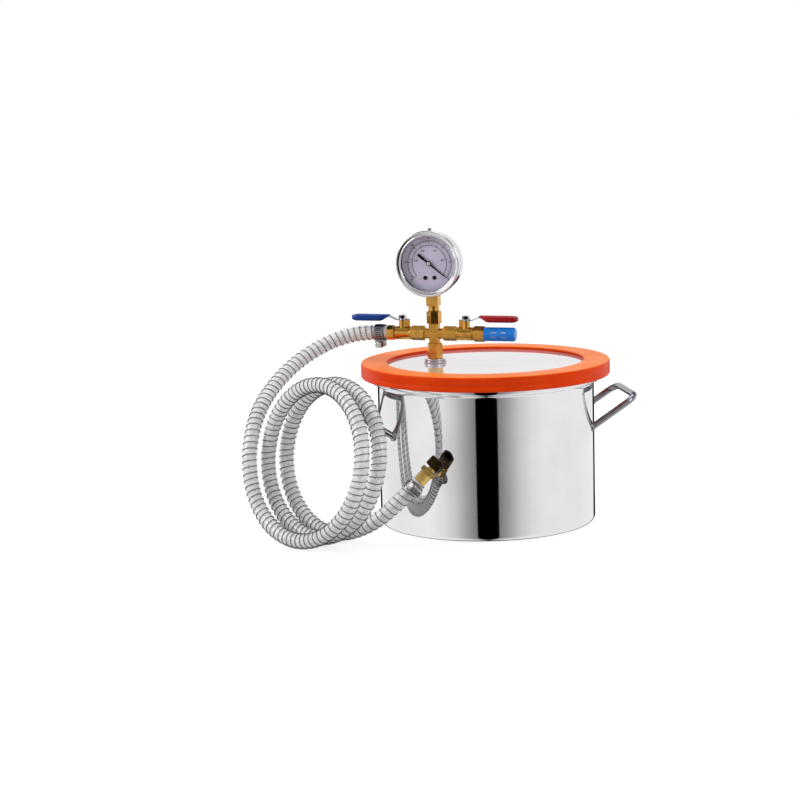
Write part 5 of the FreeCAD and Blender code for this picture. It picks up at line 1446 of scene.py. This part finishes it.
@dataclass
class Manifold:
    """Brass cross, couplings, both valves, filter and hose fittings.

    Attributes:
        near_direction: Way that the left valve's barb leaves the hose.
        far_direction: Way that the end fitting leaves it.
    """

    near_direction: Point = (1.0, 0.0, 0.0)
    far_direction: Point = (17.1, 7.8, 18.0)

    def build(self) -> None:
        """Build the valves and clamps, and dress the brass."""
        dress({
            "manifold_cross": FORGED_BRASS, "gauge_coupling": TURNED_BRASS, "filter_base": TURNED_BRASS,
            "hose_barb": TURNED_BRASS,
        })
        Valve("left", 180.0, BLUE_VINYL).build()
        Valve("right", 0.0, RED_VINYL).build()
        dress({
            "filter_cap": BLUE_NYLON, "filter_element": FILTER_TUBE, "hose_end_barb": END_BRASS,
            "swivel_nut": DARK_NUT,
        })
        HoseClamp("near", HOSE_START, self.near_direction).build()
        HoseClamp("far", HOSE_END, self.far_direction).build()


@dataclass(frozen=True)
class Scale:
    """One printed scale of the dial. Sizes are in millimetres from the dial's centre.

    Attributes:
        divisions: Divisions of the scale.
        every: Divisions from one long mark to the next.
        line: Radius of the printed line that the marks start from.
        short: Radius where short marks end.
        long: Radius where long ones end.
        words: The numbers from zero on, at even shares of the scale.
        word_radius: Distance of the numbers.
        word_height: Height of their letters.
    """

    divisions: int
    every: int
    line: float
    short: float
    long: float
    words: tuple[str, ...]
    word_radius: float
    word_height: float


@dataclass
class Gauge:
    """Round dial gauge that leans slightly on its thread. Sizes are in millimetres, the dial facing +Z.

    Attributes:
        root_height: Height of the leaning stack's foot.
        rise: Height of the dial's centre above the foot.
        lean_deg: Lean to the left.
        lift: How far the stack stands off the foot.
        case_radius: Radius of the case, and the bezel's gap round it.
        bezel_radius: Outer radius of the bezel.
        lip_radius: Inner radius of the bezel's lip.
        bezel_back: Rear edge of the bezel.
        bezel_front: Its foremost point.
        bezel_edges: Radius of its rear edge, its front edge and its lip.
        bezel_sheet: Thickness of its side and of its rear flange.
        bezel_fold: Points of the fold in its face, from its outside inwards and from its front back.
        lens_heights: Rear and front face of the glass.
        lens_inset: How much smaller the glass is than the bezel.
        dial_face: Height of the dial's face.
        zero_deg: Angle of the scales' zero.
        sweep_deg: Angle of the whole scale, which runs against the clock.
        ink: Thickness of the print.
        mark: Width of a short mark.
        bold: How many times wider a long mark is.
        print_line: Width of the line along a scale.
        scales: The printed scales, thirtieths outside and tenths inside.
        cap_height: Foot of the cap on the needle's hub, above the dial's face.
        cap: Section of that cap as radius and height above its foot.
        neck_radii: Inner and outer radius of the ring round the socket's neck.
        neck_heights: Its lower and upper end, from the dial's centre.
        neck_edges: Its chamfer, the depth and height of its collar, and its upper chamfer.
    """

    root_height: float = 229.7
    rise: float = 70.2
    lean_deg: float = 1.2
    lift: float = 0.2
    case_radius: Pair = (35.5, 0.1)
    bezel_radius: float = 38.0
    lip_radius: float = 31.8
    bezel_back: float = 12.4
    bezel_front: float = 18.4
    bezel_edges: Triple = (0.5, 1.2, 0.9)
    bezel_sheet: Pair = (0.8, 0.7)
    bezel_fold: tuple[Pair, ...] = ((3.7, 0.68), (4.2, 0.95), (4.6, 0.9))
    lens_heights: Pair = (15.0, 17.0)
    lens_inset: float = 0.9
    dial_face: float = 9.5
    zero_deg: float = -40.0
    sweep_deg: float = 260.0
    ink: float = 0.06
    mark: float = 0.45
    bold: float = 1.8
    print_line: float = 0.4
    scales: tuple[Scale, ...] = (
        Scale(60, 10, 26.2, 24.6, 23.3, ("0", "5", "10", "15", "20", "25", "30"), 28.7, 3.0),
        Scale(50, 10, 20.4, 21.6, 22.4, ("0", "0.2", "0.4", "0.6", "0.8", "1"), 16.2, 3.2),
    )
    cap_height: float = 3.3
    cap: tuple[Pair, ...] = ((AXIS, 0.0), (2.0, 0.0), (2.0, 0.25), (1.7, 0.45), (0.75, 0.45), (0.6, 0.25),
                             (AXIS, 0.25))
    neck_radii: Pair = (4.6, 6.3)
    neck_heights: Pair = (-55.5, -49.75)
    neck_edges: Station = (0.4, 0.5, 1.2, 0.3)

    def place(self) -> Matrix:
        """Where the dial's centre lies on the part, in metres."""
        root = Vector((*CROSS_CENTRE[:2], self.root_height))
        lean = Matrix.Rotation(-math.radians(self.lean_deg), 4, "Y")
        foot = Matrix.Translation(root * MM + Vector((0, 0, self.lift * MM)))
        upright = Matrix.Rotation(math.pi / 2, 4, "X")
        return foot @ lean @ Matrix.Translation((0, 0, self.rise * MM)) @ upright

    def add_case(self) -> None:
        """Spin the rolled bezel, whose face falls slightly to the glass."""
        outer, lip = self.bezel_radius, self.lip_radius
        back, front, glass = self.bezel_back, self.bezel_front, self.lens_heights[1]
        rear_edge, front_edge, lip_edge = self.bezel_edges
        side, flange = self.bezel_sheet
        inner = sum(self.case_radius)
        outline = [
            (inner, back), (outer - rear_edge, back),
            *arc((outer - rear_edge, back + rear_edge), rear_edge, -90, 0, 4)[1:],
            *arc((outer - front_edge, front - front_edge), front_edge, 0, 90, 10),
            *((outer - inward, front - behind) for inward, behind in self.bezel_fold),
            *arc((lip + lip_edge, glass), lip_edge, 70, 180, 10),
            (outer - side, glass), (outer - side, back + flange), (inner, back + flange),
        ]
        rolled = spun(outline, steps=192)
        bezel = finish_mesh("gauge_rolled_bezel", rolled, self.place(), GAUGE_STEEL, smooth_deg=30.0)
        settle(bezel, "chamber", "gauge_steel", "gauge_bezel")

    def add_window(self) -> None:
        """Flat glass disc behind the bezel's lip."""
        low, high = self.lens_heights
        edge = self.bezel_radius - self.lens_inset
        glass = spun([(AXIS, low), (edge, low), (edge, high), (AXIS, high)], steps=128)
        pane = finish_mesh("gauge_window", glass, self.place(), GAUGE_GLASS)
        settle(pane, "chamber", "gauge_glass", "gauge_lens")

    def angle(self, share: float) -> float:
        """Angle on the dial, in degrees, for a share of the scale."""
        return self.zero_deg + self.sweep_deg * share

    def marks(self, scale: Scale) -> list[bmesh.types.BMesh]:
        """Thin plates of a scale's marks."""
        plates = []
        for index in range(scale.divisions + 1):
            long_mark = index % scale.every == 0
            end = scale.long if long_mark else scale.short
            size = (abs(end - scale.line), self.mark * (self.bold if long_mark else 1.0), self.ink)
            centre = ((scale.line + end) / 2, 0, self.dial_face + self.ink / 2)
            plates.append(block(size, centre, self.angle(index / scale.divisions)))
        return plates

    def numbers(self, scale: Scale) -> list[bmesh.types.BMesh]:
        """Thin plates of a scale's numbers, which stand upright."""
        plates = []
        for index, word in enumerate(scale.words):
            turn = math.radians(self.angle(index / (len(scale.words) - 1)))
            centre = (scale.word_radius * math.cos(turn), scale.word_radius * math.sin(turn),
                      self.dial_face + self.ink / 2)
            plates.append(printed(word, scale.word_height, centre, self.ink))
        return plates

    def ring(self, scale: Scale) -> bmesh.types.BMesh:
        """Thin printed line along a scale."""
        low, high = self.dial_face, self.dial_face + self.ink
        near, far = scale.line - self.print_line / 2, scale.line + self.print_line / 2
        start, end = math.radians(self.angle(0)), math.radians(self.angle(1))
        line = bmesh.new()
        corners = [(near, low), (far, low), (far, high), (near, high)]
        face = line.faces.new([line.verts.new((along, 0, height)) for along, height in corners])
        bmesh.ops.rotate(line, verts=line.verts, cent=(0, 0, 0), matrix=Matrix.Rotation(start, 3, "Z"))
        bmesh.ops.spin(line, geom=[face], cent=(0, 0, 0), axis=(0, 0, 1), angle=end - start, steps=130,
                       use_duplicate=False)
        return line

    def add_print(self) -> None:
        """Print both scales on the dial, with their lines and numbers."""
        # The marks are drawn about twice as wide as printed ones, or they would be too fine to show.
        shapes = []
        for scale in self.scales:
            shapes += [*self.marks(scale), self.ring(scale), *self.numbers(scale)]
        scales = finish_mesh("gauge_scales", joined(*shapes), self.place(), DIAL_INK)
        settle(scales, "chamber", "dial_paint")

    def add_hub_cap(self) -> None:
        """Bright cap on the needle's hub, with a dimple in its middle."""
        foot = self.dial_face + self.cap_height
        cap = spun([(radius, foot + height) for radius, height in self.cap], steps=40)
        piece = finish_mesh("gauge_hub_cap", cap, self.place(), PLATED_STEEL, smooth_deg=30.0)
        settle(piece, "needle", "plated_steel")

    def add_neck_ring(self) -> None:
        """Sealing ring of brass round the socket's neck, with a narrower collar above."""
        low, high = self.neck_heights
        inner, outer = self.neck_radii
        chamfer, depth, collar, upper = self.neck_edges
        ring = spun([
            (inner, low), (outer - chamfer, low), (outer, low + chamfer),
            (outer, high - collar - chamfer), (outer - depth, high - collar),
            (outer - depth, high - upper), (outer - depth - upper, high), (inner, high)], steps=64)
        upright = Matrix.Rotation(-math.pi / 2, 4, "X")
        place = self.place() @ upright
        piece = finish_mesh("gauge_neck_ring", ring, place, TURNED_BRASS, smooth_deg=30.0)
        settle(piece, "chamber", "brass")

    def build(self) -> None:
        """Make the bezel, glass, print, cap and neck ring, and dress the rest."""
        self.add_case()
        self.add_window()
        self.add_print()
        self.add_hub_cap()
        self.add_neck_ring()
        dress({
            "gauge_case": GAUGE_STEEL, "gauge_lens_seal": BLACK_RUBBER, "gauge_dial": DIAL_ENAMEL,
            "gauge_dial_screws": BLUED_STEEL, "gauge_needle": BLACK_PAINT, "gauge_movement": TURNED_BRASS,
            "gauge_sector": TURNED_BRASS, "gauge_socket": TURNED_BRASS, "gauge_bourdon_tube": BRONZE,
            "gauge_fill_plug": GREY_RUBBER,
        })


def main() -> None:
    """Build the studio and every sub-assembly."""
    logging.basicConfig(level=logging.INFO, format="%(message)s")
    Studio().build()
    Pot().build()
    Manifold().build()
    Gauge().build()
    Hose().build()


if __name__ == "__main__":
    main()
